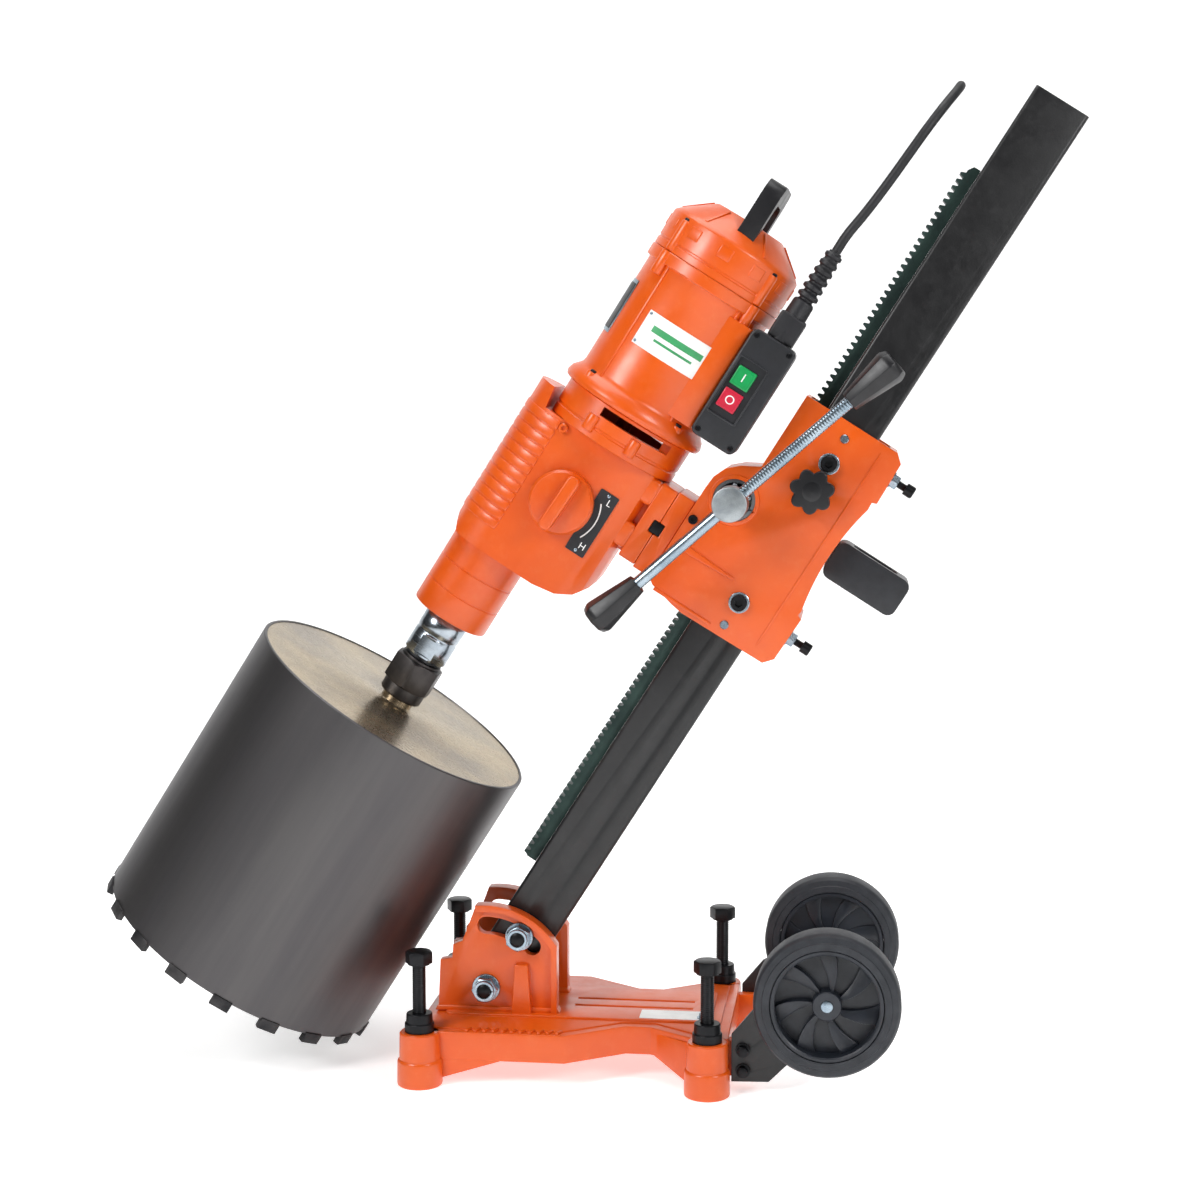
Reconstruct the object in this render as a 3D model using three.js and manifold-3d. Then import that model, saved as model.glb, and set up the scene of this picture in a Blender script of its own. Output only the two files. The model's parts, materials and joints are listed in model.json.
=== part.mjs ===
// A core drill rig: a wheeled base with levelling screws, a tilting column with a gear rack,
// a carriage wound up and down the column by a crank, and a two-speed drill motor with a core bit.
// Millimetres, +Z up, +X towards the wheels. The origin is on the floor at the middle of the machine.
import * as THREE from "three";
import { mergeVertices } from "three/addons/utils/BufferGeometryUtils.js";
import Module from "manifold-3d";

const wasm = await Module();
wasm.setup();

// ---- driving dimensions ----
const gap = 0.3; // between touching pieces
const baseMiddleX = -4.4; // middle of the levelling-screw pattern
const screwSpacingX = 302;
const screwSpacingY = 228;
const deckTop = 57;
const skirtBottom = 27;
const pivotX = baseMiddleX - 91.9;
const pivotZ = 86.1;
const tiltDeg = 32.3; // column, from upright
const clampRadius = 68; // from the pivot to the clamp bolt in its arc slot
const columnWidth = 62;
const columnMiddle = 2; // column's middle line from the pivot, along u
const columnTop = 1100;
const rackModule = 2.5; // rack and pinion
const rackTip = -46.5; // u of the rack's tooth tips
const pinionTeeth = 12;
const carriageHalf = 45; // cheek's outer face from the middle plane
const drillAxis = -251; // u of spindle and bit
const motorAxis = -200.5; // u of motor
const bitRadius = 162;
const bitTop = 197;
const bitBottom = -139;
const segmentCount = 18;
const wheelX = baseMiddleX + 274;
const wheelZ = 106;
const wheelRadius = 75;
const wheelOuter = 144;
const crankAngleDeg = 16.7; // bar from the column's direction
const cordDiameter = 10;

const rackPitch = Math.PI * rackModule;
const rackPitchLine = rackTip + rackModule;
const pinionRadius = (rackModule * pinionTeeth) / 2;
const pinionU = rackPitchLine - pinionRadius;
const columnFront = columnMiddle - columnWidth / 2;
const columnBack = columnMiddle + columnWidth / 2;

// ---- materials ----
function finish(color, roughness, metalness) {
  return new THREE.MeshStandardMaterial({ color, roughness, metalness });
}
const orange = finish(0xf07022, 0.45, 0.1);
const blackPaint = finish(0x222224, 0.5, 0.2);
const rackSteel = finish(0x3c5550, 0.5, 0.6);
const blackPlastic = finish(0x2b2b2e, 0.6, 0);
const zinc = finish(0xb4bcc0, 0.35, 0.9);
const blackSteel = finish(0x1c1c1e, 0.45, 0.6);
const gearSteel = finish(0x85888c, 0.35, 0.9);
const copper = finish(0xa8673a, 0.4, 0.8);
const bitSteel = finish(0x555558, 0.35, 0.7);
const rubber = finish(0x18181a, 0.8, 0);
const hubPlastic = finish(0x2d323a, 0.5, 0);
const slidePlastic = finish(0xd8d4c4, 0.5, 0);
const greenPlastic = finish(0x3caf6e, 0.4, 0);
const redPlastic = finish(0xd7465a, 0.4, 0);

// ---- solids ----
function solid(geometry) {
  const g = geometry.clone();
  g.deleteAttribute("normal");
  g.deleteAttribute("uv");
  const merged = mergeVertices(g, 1e-4);
  const corners = merged.index.array;
  const kept = [];
  for (let i = 0; i < corners.length; i += 3) {
    const [a, b, c] = [corners[i], corners[i + 1], corners[i + 2]];
    if (a !== b && b !== c && c !== a) kept.push([a, b, c]);
  }
  const build = (triangles) =>
    new wasm.Manifold(
      new wasm.Mesh({
        numProp: 3,
        vertProperties: merged.attributes.position.array,
        triVerts: new Uint32Array(triangles.flat()),
      }),
    );
  const made = build(kept);
  return made.volume() < 0 ? build(kept.map(([a, b, c]) => [a, c, b])) : made;
}

function geometryOf(made) {
  const mesh = made.getMesh();
  const g = new THREE.BufferGeometry();
  g.setAttribute("position", new THREE.BufferAttribute(mesh.vertProperties, 3));
  g.setIndex(new THREE.BufferAttribute(mesh.triVerts, 1));
  return g;
}

const join = (...pieces) => pieces.reduce((a, b) => a.add(b));
const cut = (body, ...tools) => tools.reduce((a, b) => a.subtract(b), body);

function box(x0, x1, y0, y1, z0, z1) {
  const g = new THREE.BoxGeometry(x1 - x0, y1 - y0, z1 - z0);
  g.translate((x0 + x1) / 2, (y0 + y1) / 2, (z0 + z1) / 2);
  return solid(g);
}

// A turned body about an axis through (x, y), or (x, z) for axis "y", or (y, z) for axis "x".
// The profile is [radius, height] pairs from bottom to top.
function turned(profile, axis, [a, b], sides = 24) {
  const points = profile.map(([r, h]) => new THREE.Vector2(r, h));
  const closed = points[0].x > 0;
  if (closed) points.push(points[0].clone());
  const g = new THREE.LatheGeometry(points, sides);
  if (axis === "z") g.rotateX(Math.PI / 2);
  if (axis === "x") g.rotateZ(-Math.PI / 2);
  if (axis === "z") g.translate(a, b, 0);
  if (axis === "y") g.translate(a, 0, b);
  if (axis === "x") g.translate(0, a, b);
  return solid(g);
}

function rod(radius, from, to, axis, at, sides = 20) {
  return turned([[0, from], [radius, from], [radius, to], [0, to]], axis, at, sides);
}

function tube(outer, inner, from, to, axis, at, sides = 24) {
  return turned([[inner, from], [outer, from], [outer, to], [inner, to]], axis, at, sides);
}

// A closed outline without the points that repeat where two arcs meet.
function outlineOf(points) {
  const corners = points.map(([x, y]) => new THREE.Vector2(x, y));
  const count = corners.length;
  return new THREE.Shape(corners.filter((p, i) => p.distanceTo(corners[(i + 1) % count]) > 0.02));
}

// An outline in X and Y pushed up Z.
function prismZ(points, from, to) {
  const shape = outlineOf(points);
  const g = new THREE.ExtrudeGeometry(shape, { depth: to - from, bevelEnabled: false });
  g.translate(0, 0, from);
  return solid(g);
}

// An outline in Y and Z pushed along X.
function prismX(points, from, to) {
  const shape = outlineOf(points);
  const g = new THREE.ExtrudeGeometry(shape, { depth: to - from, bevelEnabled: false });
  g.rotateX(Math.PI / 2);
  g.rotateZ(Math.PI / 2);
  g.translate(from, 0, 0);
  return solid(g);
}

// An outline in X and Z pushed along Y.
function prismY(points, from, to) {
  const shape = outlineOf(points);
  const g = new THREE.ExtrudeGeometry(shape, { depth: to - from, bevelEnabled: false });
  g.rotateX(Math.PI / 2);
  g.translate(0, to, 0);
  return solid(g);
}

function arc(cx, cy, radius, fromDeg, toDeg, steps) {
  const points = [];
  for (let i = 0; i <= steps; i++) {
    const a = THREE.MathUtils.degToRad(fromDeg + ((toDeg - fromDeg) * i) / steps);
    points.push([cx + radius * Math.cos(a), cy + radius * Math.sin(a)]);
  }
  return points;
}

function roundedRect(x0, x1, y0, y1, r, steps = 4) {
  return [
    ...arc(x1 - r, y0 + r, r, -90, 0, steps),
    ...arc(x1 - r, y1 - r, r, 0, 90, steps),
    ...arc(x0 + r, y1 - r, r, 90, 180, steps),
    ...arc(x0 + r, y0 + r, r, 180, 270, steps),
  ];
}

function hexagon(cx, cy, across, startDeg = 0) {
  return arc(cx, cy, across / Math.sqrt(3), startDeg, startDeg + 300, 5);
}

// A spur gear about Z: straight-sided teeth, one tooth centred on the angle `phase`.
function spurGear(teeth, mod, phaseRad, from, to, [cx, cy]) {
  const pitch = (mod * teeth) / 2;
  const points = [];
  const root = pitch - 1.2 * mod;
  const tip = pitch + 0.8 * mod;
  const step = (2 * Math.PI) / teeth;
  for (let i = 0; i < teeth; i++) {
    const a = phaseRad + i * step;
    [[root, -0.3], [tip, -0.11], [tip, 0.11], [root, 0.3]].forEach(([r, share]) => {
      points.push([cx + r * Math.cos(a + share * step), cy + r * Math.sin(a + share * step)]);
    });
  }
  return prismZ(points, from, to);
}

function addPiece(parent, name, material, made) {
  const mesh = new THREE.Mesh(made.isBufferGeometry ? made : geometryOf(made), material);
  mesh.name = name;
  parent.add(mesh);
}

const rig = new THREE.Group();
const base = new THREE.Group();
base.position.x = baseMiddleX;
rig.add(base);
// The tilted frame: X is u, away from the drill; Z is s, up the column; its origin is the pivot.
const column = new THREE.Group();
column.position.set(pivotX, 0, pivotZ);
column.rotation.y = THREE.MathUtils.degToRad(tiltDeg);
rig.add(column);

const screwPlaces = [
  ["front_left", -screwSpacingX / 2, -screwSpacingY / 2],
  ["front_right", screwSpacingX / 2, -screwSpacingY / 2],
  ["back_left", -screwSpacingX / 2, screwSpacingY / 2],
  ["back_right", screwSpacingX / 2, screwSpacingY / 2],
];
const pivot = [pivotX - baseMiddleX, pivotZ];

// ---- base ----
const waistY = 72; // half width of the deck at its waist
const plateInner = 33;
const plateOuter = 45;

function deckOutline(inset) {
  const wide = screwSpacingY / 2 - inset;
  const half = [
    [-158 + inset, 60], [-151 + inset, wide], [2 - inset * 0.4, wide],
    [62 - inset * 0.4, waistY - inset], [104 + inset * 0.4, waistY - inset],
    [136 + inset * 0.4, wide - 8], [172 - inset, wide - 12],
  ];
  return [...half.map(([x, y]) => [x, -y]), ...half.reverse().map(([x, y]) => [x, y])];
}

function cornerWeb(x, y) {
  const inwards = -Math.sign(x);
  const near = x + inwards * 10;
  const far = x + inwards * 92;
  const outer = y - Math.sign(y) * 9;
  const points = [[near, 3], [far, skirtBottom + 2], [far, deckTop - 5], [near, deckTop - 5]];
  return prismY(points, Math.min(y, outer), Math.max(y, outer));
}

function tiltPlate(side) {
  const [px, pz] = pivot;
  const y = [side * plateInner, side * plateOuter].sort((a, b) => a - b);
  const lip = [side * plateInner, side * (plateOuter + 6)].sort((a, b) => a - b);
  const outline = [
    [px - 53, deckTop - 4], [px + 77, deckTop - 4], [px + 77, pz + 48],
    ...arc(px, pz, 91, 32, 97, 8),
    [px - 18, pz + 71], [px - 26, pz + 50], [px - 36, pz + 46], [px - 37, pz + 31], [px - 50, pz + 29],
  ];
  const rim = [
    [px + 71, deckTop - 4], [px + 77, deckTop - 4], [px + 77, pz + 48],
    ...arc(px, pz, 91, 32, 97, 8),
    ...arc(px, pz, 84, 97, 32, 8), [px + 71, pz + 45],
  ];
  const slot = [...arc(px, pz, clampRadius + 9.5, 90 - 47, 90, 8), ...arc(px, pz + clampRadius, 9.5,
    90, 270, 8),
    ...arc(px, pz, clampRadius - 9.5, 90, 90 - 47, 8),
    ...arc(px + clampRadius * Math.sin(0.8203), pz + clampRadius * Math.cos(0.8203), 9.5, 223, 403, 8)];
  const gusset = prismY([[px + 28, deckTop - 3], [px + 50, deckTop - 3], [px + 46, pz + 28], [px + 32,
    pz + 28]],
    side > 0 ? plateOuter - 1 : -plateOuter - 9, side > 0 ? plateOuter + 9 : -plateOuter + 1);
  return cut(
    join(prismY(outline, ...y), prismY(rim, ...lip), gusset),
    prismY(slot, -60, 60),
    rod(8 + gap, -60, 60, "y", pivot),
  );
}

function baseCasting() {
  let body = cut(prismZ(deckOutline(0), skirtBottom, deckTop), prismZ(deckOutline(8), skirtBottom - 1,
    deckTop - 8));
  for (const [, x, y] of screwPlaces) {
    body = join(
      body,
      turned([[0, 0], [22.5, 0], [24, 3], [23.5, 27], [21.5, 28], [21, deckTop], [0, deckTop]], "z",
        [x, y], 20),
      cornerWeb(x, y),
    );
  }
  // raised middle of the deck, with two long slots, and the ribs under it
  body = join(
    body,
    box(-135, 150, -58, 58, deckTop - 1, deckTop + 4),
    box(-150, 160, -5, 5, 36, deckTop - 4),
    box(-60, -52, -108, 108, 36, deckTop - 4),
    box(118, 126, -84, 84, 36, deckTop - 4),
    tiltPlate(-1),
    tiltPlate(1),
  );
  for (const side of [-1, 1]) {
    // lugs that carry the wheel brackets
    body = join(body, box(160, 200, side > 0 ? 78 : -91, side > 0 ? 91 : -78, 14, 52));
  }
  const cuts = [box(0, 128, -16, -10, deckTop, deckTop + 9), box(0, 128, 10, 16, deckTop, deckTop + 9)];
  for (const [, x, y] of screwPlaces) cuts.push(rod(7.2 + gap, -5, 100, "z", [x, y]));
  for (const z of [22, 44]) cuts.push(rod(3, -120, 120, "y", [187, z], 12));
  return cut(body, ...cuts);
}
addPiece(base, "base_casting", orange, baseCasting());

for (const [place, x, y] of screwPlaces) {
  const shank = turned([[0, 3], [4.5, 3], [7.2, 7], [7.2, 131], [0, 131]], "z", [x, y], 16);
  addPiece(base, `levelling_screw_${place}`, blackSteel, join(shank, prismZ(hexagon(x, y, 25), 130, 143)));
  const nut = turned([[7.2 + gap, deckTop + gap], [15.5, deckTop + gap], [14, 77], [7.2 + gap, 77]],
    "z", [x, y], 16);
  addPiece(base, `levelling_nut_${place}`, blackSteel, nut);
}

function throughBolt(at, reach) {
  const head = prismY(hexagon(...at, 24), reach, reach + 11);
  return join(rod(8, -reach - 17, reach + 1, "y", at), head);
}
const nutOf = (at, reach) =>
  cut(join(prismY(hexagon(...at, 24), -reach - 14, -reach - 3), rod(15, -reach - 3, -reach, "y", at)),
    rod(8 + gap, -90, 0, "y", at));
const pivotReach = plateOuter + gap;
addPiece(base, "pivot_bolt", zinc, throughBolt(pivot, pivotReach));
addPiece(base, "pivot_nut", zinc, nutOf(pivot, pivotReach));

// ---- wheels ----
const wheelAt = [wheelX - baseMiddleX, wheelZ];
const bracketOutline = [[175, 10], [214, 11], [236, 33], [289, 96], [290, 112], [280, 122], [264, 121],
  [198, 88],
  [175, 60]];
for (const [name, side] of [["front", -1], ["back", 1]]) {
  const y = [side * (91 + gap), side * 97].sort((a, b) => a - b);
  const plate = cut(prismY(bracketOutline, ...y), rod(6 + gap, -120, 120, "y", wheelAt),
    rod(3, -120, 120, "y", [187, 22], 12), rod(3, -120, 120, "y", [187, 44], 12));
  addPiece(base, `wheel_bracket_${name}`, blackPaint, plate);

  const place = (from, to) => [side * from, side * to].sort((a, b) => a - b);
  const outer = wheelOuter;
  const inner = outer - 40;
  const hub = tube(15, 6 + gap, ...place(inner, outer - 4), "y", wheelAt, 24);
  const rim = tube(58, 53, ...place(inner + 2, outer - 2), "y", wheelAt, 24);
  const disc = tube(54, 14, ...place(inner + 14, inner + 20), "y", wheelAt, 24);
  let wheel = join(hub, rim, disc);
  for (let i = 0; i < 7; i++) {
    const a = ((i + 0.3) * 2 * Math.PI) / 7;
    const [dx, dz] = [Math.cos(a), Math.sin(a)];
    const [cx, cz] = wheelAt;
    const w = 3.2;
    const spoke = [[12, -w], [55, -w * 0.6], [55, w * 0.6], [12, w]].map(([r, o]) => [cx + r * dx - o * dz,
      cz + r * dz + o * dx]);
    wheel = join(wheel, prismY(spoke, ...place(inner + 8, outer - 9)));
  }
  addPiece(base, `wheel_rim_${name}`, hubPlastic, wheel);
  const tyreProfile = [[58 + gap, 0], [73, 0], [wheelRadius, 5], [wheelRadius, 35], [73, 40],
    [58 + gap, 40]];
  const [y0] = place(inner, outer);
  addPiece(base, `wheel_tyre_${name}`, rubber, turned(tyreProfile.map(([r, h]) => [r, h + y0]), "y",
    wheelAt, 36));
}
const axleHalf = wheelOuter - 3;
addPiece(base, "wheel_axle", zinc, rod(6, -axleHalf, axleHalf, "y", wheelAt));

// ---- column ----
const half = columnWidth / 2;
const tubeWall = 4;
const clampAt = [0, clampRadius];
// The tube's side walls run on below it as two round ears on the pivot bolt.
const earRadius = 23;
const sideView = [
  [columnFront - 1, columnTop], [columnFront - 1, 6], [-earRadius, 2], ...arc(0, 0, earRadius, 180,
    360, 10),
  [earRadius, 2], [columnBack + 1, 6], [columnBack + 1, columnTop],
];
const columnTube = cut(
  prismZ(roundedRect(columnFront, columnBack, -half, half, 5, 2), -30,
    columnTop).intersect(prismY(sideView, -50, 50)),
  box(columnFront + tubeWall, columnBack - tubeWall, -half + tubeWall, half - tubeWall, -40,
    columnTop + 10),
  rod(8 + gap, -60, 60, "y", [0, 0]),
  rod(8 + gap, -60, 60, "y", clampAt),
);
addPiece(column, "column_tube", blackPaint, columnTube);

const clampReach = plateOuter + 1;
addPiece(column, "clamp_bolt", zinc, throughBolt(clampAt, clampReach));
addPiece(column, "clamp_nut", zinc, nutOf(clampAt, clampReach));

const rackBottom = 137;
const rackTeeth = 109;
const rackHalf = 10;
const pinionS = rackBottom + 57 * rackPitch; // a tooth gap of the rack faces the pinion's axis
function rackOutline() {
  const points = [[columnFront - gap, rackBottom]];
  const root = rackPitchLine + 1.2 * rackModule;
  const tip = rackPitchLine - 0.8 * rackModule;
  const side = (i) => rackBottom + (i + 0.5) * rackPitch;
  points.push([root, rackBottom]);
  for (let i = 0; i < rackTeeth; i++) {
    const s = side(i);
    points.push([root, s - 0.36 * rackPitch], [tip, s - 0.13 * rackPitch], [tip, s + 0.13 * rackPitch],
      [root, s + 0.36 * rackPitch]);
  }
  const top = rackBottom + rackTeeth * rackPitch + 8;
  points.push([root, top - 6], [root + 4, top], [columnFront - gap, top]);
  return points.reverse();
}
addPiece(column, "gear_rack", rackSteel, prismY(rackOutline(), -rackHalf, rackHalf));

// ---- carriage ----
const pinionAt = [pinionU, pinionS];
const carriageBottom = 456;
const carriageTop = 716;
const carriageOutline = [
  [-42, carriageBottom], [57, 458], [65.5, 468], [66.5, 518], [61, 520], ...arc(335, 588, 280, 193, 167, 8),
  [61.5, 659], [66.5, 661], [65, 708], [56, carriageTop], [-54, carriageTop], [-54, 629], [-72, 619],
    [-84, 608],
  [-90, 594], [-91, 580], [-91, 470], [-83, 464.5], [-55, 458],
];

const lockAt = [3.5, 637];
const cheekInner = half + 3.5;
const bearingInner = cheekInner + gap;
function carriageHousing() {
  let body = prismY(carriageOutline, -carriageHalf, carriageHalf);
  body = join(
    body,
    rod(26, carriageHalf - 1, carriageHalf + 2, "y", pinionAt, 28),
    box(-66, -14, -carriageHalf - 3, -carriageHalf + 1, 511, 519),
  );
  return cut(
    body,
    box(-49.5, 47, -cheekInner, cheekInner, 400, 800), // the column's way through
    box(-80, -49, -cheekInner, cheekInner, 474, 604), // room for the pinion
    rod(22 + gap, -90, -20, "y", pinionAt, 28), // front bearing seat
    rod(22 + gap, 20, carriageHalf - 2 + gap, "y", pinionAt, 28), // back bearing seat
    rod(6 + gap, -60, -20, "y", lockAt),
    ...[688, 490].map((s) => rod(4 + gap, 40, 80, "x", [0, s], 16)),
    ...[575, 601].map((s) => rod(4, 40, 54, "x", [0, s], 16)),
  );
}
addPiece(column, "carriage_housing", orange, carriageHousing());
for (const [name, side] of [["front", -1], ["back", 1]]) {
  const y = [side * 13, side * (cheekInner - gap)].sort((a, b) => a - b);
  addPiece(column, `guide_strip_${name}`, slidePlastic, box(-49.5 + gap, columnFront - gap, ...y, 462,
    712));
}
for (const [name, s] of [["lower", 490], ["upper", 688]]) {
  addPiece(column, `guide_pad_${name}`, slidePlastic, box(columnBack + gap, 46, -24, 24, s - 18, s + 18));
  const screw = turned([[0, 46 + gap], [4, 46 + gap], [4, 84], [6.6, 84], [6.6, 94], [0, 94]], "x", [0,
    s], 20);
  addPiece(column, `adjusting_screw_${name}`, blackSteel, screw);
}
for (const [name, from, to] of [["front", -carriageHalf + 1, -bearingInner], ["back", bearingInner,
  carriageHalf - 2]]) {
  addPiece(column, `pinion_bearing_${name}`, gearSteel, tube(22, 9 + gap, from, to, "y", pinionAt, 28));
}

// rear grip: a bar handle with a finger opening
const handleOutline = roundedRect(57, 144, 567, 609, 9);
const carriageGrip = cut(
  prismY(handleOutline, -24, 24),
  prismZ(roundedRect(72, 126, -14, 14, 8), 500, 650),
);
addPiece(column, "carriage_grip", blackPlastic, carriageGrip);

// ---- crank ----
const pinion = spurGear(pinionTeeth, rackModule, 0, -rackHalf, rackHalf, [0, 0]);
const shaft = rod(9, -60, carriageHalf - 3, "z", [0, 0]);
const pinionGeometry = geometryOf(join(pinion, shaft, rod(7, -94, -59, "z", [0, 0])));
// About Z to about Y: +Z becomes +Y, and the tooth at angle 0 keeps pointing at the rack.
pinionGeometry.rotateX(-Math.PI / 2);
pinionGeometry.translate(pinionU, 0, pinionS);
addPiece(column, "pinion_shaft", gearSteel, pinionGeometry);

const barY = -104;
const crank = new THREE.Group();
crank.position.set(pinionU, barY, pinionS);
crank.rotation.y = THREE.MathUtils.degToRad(crankAngleDeg);
column.add(crank);
const barRadius = 6.5;
const barLow = -185;
const barHigh = 217;
const crankHub = cut(
  join(rod(18, -17, 16, "y", [0, 0], 28), rod(13, 16, 40, "y", [0, 0], 20)),
  rod(7 + gap, 9, 60, "y", [0, 0]), // takes the shaft
  rod(barRadius + gap, -60, 60, "z", [0, 0]), // takes the bar
);
addPiece(crank, "crank_hub", zinc, crankHub);
addPiece(crank, "crank_bar", zinc, rod(barRadius, barLow + 5, barHigh - 5, "z", [0, 0], 20));
for (const [name, end, towards] of [["lower", barLow, 1], ["upper", barHigh, -1]]) {
  const profile = [[0, 0], [15.5, 0], [18, 7], [18, 10], [10.5, 60], [0, 60]];
  const body = turned(profile.map(([r, h]) => [r, end + towards * h]), "z", [0, 0], 8);
  const bore = [end + towards * (5 - gap), end + towards * 70].sort((a, b) => a - b);
  addPiece(crank, `crank_grip_${name}`, blackPlastic, cut(body, rod(barRadius + gap, ...bore, "z", [0,
    0])));
}

// ---- lock knob ----
function starOutline(cx, cz, lobes, tip, valley) {
  const points = [];
  const steps = lobes * 6;
  for (let i = 0; i < steps; i++) {
    const a = (2 * Math.PI * i) / steps;
    const wave = 0.5 + 0.5 * Math.cos(lobes * a);
    const r = valley + (tip - valley) * Math.sqrt(wave);
    points.push([cx + r * Math.sin(a), cz + r * Math.cos(a)]);
  }
  return points.reverse();
}
const knobFrom = -carriageHalf - 26;
const lockKnob = join(
  prismY(starOutline(...lockAt, 7, 23.5, 18), knobFrom, knobFrom + 16),
  rod(11, knobFrom + 15, -carriageHalf - gap - 1, "y", lockAt),
  rod(6, knobFrom + 10, -half - gap, "y", lockAt),
);
addPiece(column, "lock_knob", blackPlastic, lockKnob);

// ---- drill head mount ----
const mountFace = -91; // carriage's front face
const mountPlate = cut(
  box(-111, mountFace - gap, -42, 42, 469, 561),
  box(-118, -104.5, -90, 90, 509, 523),
);
addPiece(column, "mount_plate", orange, mountPlate);

// ---- gearbox ----
const boxHalf = 52;
const spindleAt = [drillAxis, 0];
const motorAt = [motorAxis, 0];
const boxOutline = [
  ...arc(drillAxis, 0, 50, 90, 270, 14),
  [-215, -boxHalf], [-158, -boxHalf], [-142, -44], [-136, -30], [-136, 30], [-142, 44], [-158, boxHalf],
  [-215, boxHalf],
];
const boxProfile = [
  [-301, 583], [-301, 418], [-290, 397], [-190, 397], [-165, 401], [-148, 410], [-138, 424], [-136, 440],
  [-136, 560], [-276.5, 560], [-280, 583],
];
const gearSideX = -222.4;
const gearSideY = 16.1;
// The mains lead is stored on this post on the gearbox's far side.
const cordPost = { at: [-216, 536], radius: 15, flange: 21, to: 130 };
const bolster = (s) => join(box(-153, -130.5, -44, -18, s - 14, s + 14), box(-153, -130.5, 18, 44,
  s - 14, s + 14));
function gearboxHousing() {
  const outer = prismZ(boxOutline, 390, 590).intersect(prismY(boxProfile, -70, 70));
  const plate = join(box(-130.5, -111 - gap, -42, 42, 471, 560), bolster(545), bolster(493),
    box(-140, -129, -30, 30, 475, 556));
  const inside = prismZ([...arc(drillAxis, 0, 43, 90, 270, 14), [-215, -45], [-160, -45], [-146, -36],
    [-143, 36],
    [-160, 45], [-215, 45]], 410, 552);
  const post = join(
    rod(cordPost.radius, boxHalf - 4, cordPost.to, "y", cordPost.at, 24),
    rod(cordPost.flange, cordPost.to - 4, cordPost.to, "y", cordPost.at, 24),
  );
  return cut(
    join(outer, plate, post),
    inside.intersect(box(-320, -143, -50, 50, 404, 552)),
    rod(26, 380, 420, "z", spindleAt),
    rod(22, 540, 600, "z", motorAt),
    rod(6 + gap, -90, -40, "y", [-208.6, 487]),
    box(-118, -100, -90, 90, 509, 523),
  );
}
addPiece(column, "gearbox_housing", orange, gearboxHousing());

const nose = turned([[26, 311], [41.5, 311], [43, 313], [43, 397 - gap], [26, 397 - gap]], "z",
  spindleAt, 28);
addPiece(column, "gearbox_nose", orange, nose);

const selectorAt = [-208.6, 487];
const selector = join(
  turned([[0, -boxHalf - 14], [31, -boxHalf - 14], [34, -boxHalf - 11], [34, -boxHalf - gap], [0,
    -boxHalf - gap]],
    "y", selectorAt, 28),
  prismY(roundedRect(selectorAt[0] - 7, selectorAt[0] + 7, selectorAt[1] - 32, selectorAt[1] + 32, 5),
    -boxHalf - 26, -boxHalf - 13),
  rod(6, -boxHalf - 1, -38, "y", selectorAt),
);
addPiece(column, "gear_selector", orange, selector);

// ---- gears ----
const gearModule = 1.6;
const spindleTeeth = 31;
const smallTeeth = 10;
const largeTeeth = 25;
const armatureTeeth = 9;
const sideAt = [gearSideX, gearSideY];
const toSide = Math.atan2(gearSideY, gearSideX - drillAxis);
const toArmature = Math.atan2(-gearSideY, motorAxis - gearSideX);
const halfTooth = (teeth) => Math.PI / teeth;
const spindle = join(
  turned([[0, 255.5], [21, 255.5], [24.5, 258], [24.5, 306], [20, 309], [20, 420], [12, 421], [12,
    455], [0, 455]],
    "z", spindleAt, 20),
  spurGear(spindleTeeth, gearModule, toSide, 425, 445, spindleAt),
);
addPiece(column, "spindle", zinc, spindle);
const sideShaft = join(
  rod(5, 416, 535, "z", sideAt, 16),
  spurGear(smallTeeth, gearModule, toSide + Math.PI + halfTooth(smallTeeth), 423, 447, sideAt),
  spurGear(largeTeeth, gearModule, toArmature, 500, 514, sideAt),
);
addPiece(column, "intermediate_gear", gearSteel, sideShaft);
const armature = join(
  turned([[0, 496], [5, 496], [5, 570], [8, 572], [8, 640], [30, 642], [30, 715], [10, 717], [10, 742],
    [16, 743],
    [16, 762], [6, 763], [6, 800], [0, 800]], "z", motorAt, 20),
  spurGear(armatureTeeth, gearModule, toArmature + Math.PI + halfTooth(armatureTeeth), 498, 517, motorAt),
  turned([[0, 603], [46, 603], [46, 606], [20, 618], [0, 618]], "z", motorAt, 28),
);
addPiece(column, "armature", copper, armature);

// ---- motor ----
const ventFront = box(-222, -143, -90, -40, 586, 596);
const coverRing = cut(
  join(tube(74, 62, 560 + gap, 600 - gap, "z", motorAt, 28), tube(70, 9, 560 + gap, 566, "z", motorAt, 28)),
  ventFront,
  box(-222, -143, 40, 90, 586, 596),
);
addPiece(column, "gearbox_cover", orange, coverRing);

function lugs(radius, from, to, size) {
  return [45, 135, 225, 315].map((deg) => {
    const a = THREE.MathUtils.degToRad(deg);
    return rod(size, from, to, "z", [motorAxis + radius * Math.cos(a), radius * Math.sin(a)], 8);
  });
}
const motorShell = cut(
  join(
    turned([[0, 600], [80, 600], [82, 604], [80, 612], [73, 619], [72, 640], [72, 750], [76, 751], [76,
      764], [0, 764]],
      "z", motorAt, 28),
    ...lugs(73, 738, 764, 7),
    box(-175, -136, -62, -34, 624, 742), // seat of the switch box
  ),
  rod(66, 590, 780, "z", motorAt, 28),
);
addPiece(column, "motor_housing", orange, motorShell);
addPiece(column, "stator", gearSteel, tube(65, 33, 650, 708, "z", motorAt, 28));

const cap = cut(
  join(
    turned([[60, 764 + gap], [75, 764 + gap], [75, 804], [70, 809], [40, 832], [0, 834], [0, 826], [37,
      825],
      [64, 803], [68, 799], [68, 770], [60, 770]], "z", motorAt, 28),
    ...lugs(71, 765, 800, 7),
  ),
  rod(60, 760, 800, "z", motorAt, 28),
);
addPiece(column, "motor_cap", orange, cap);

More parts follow.
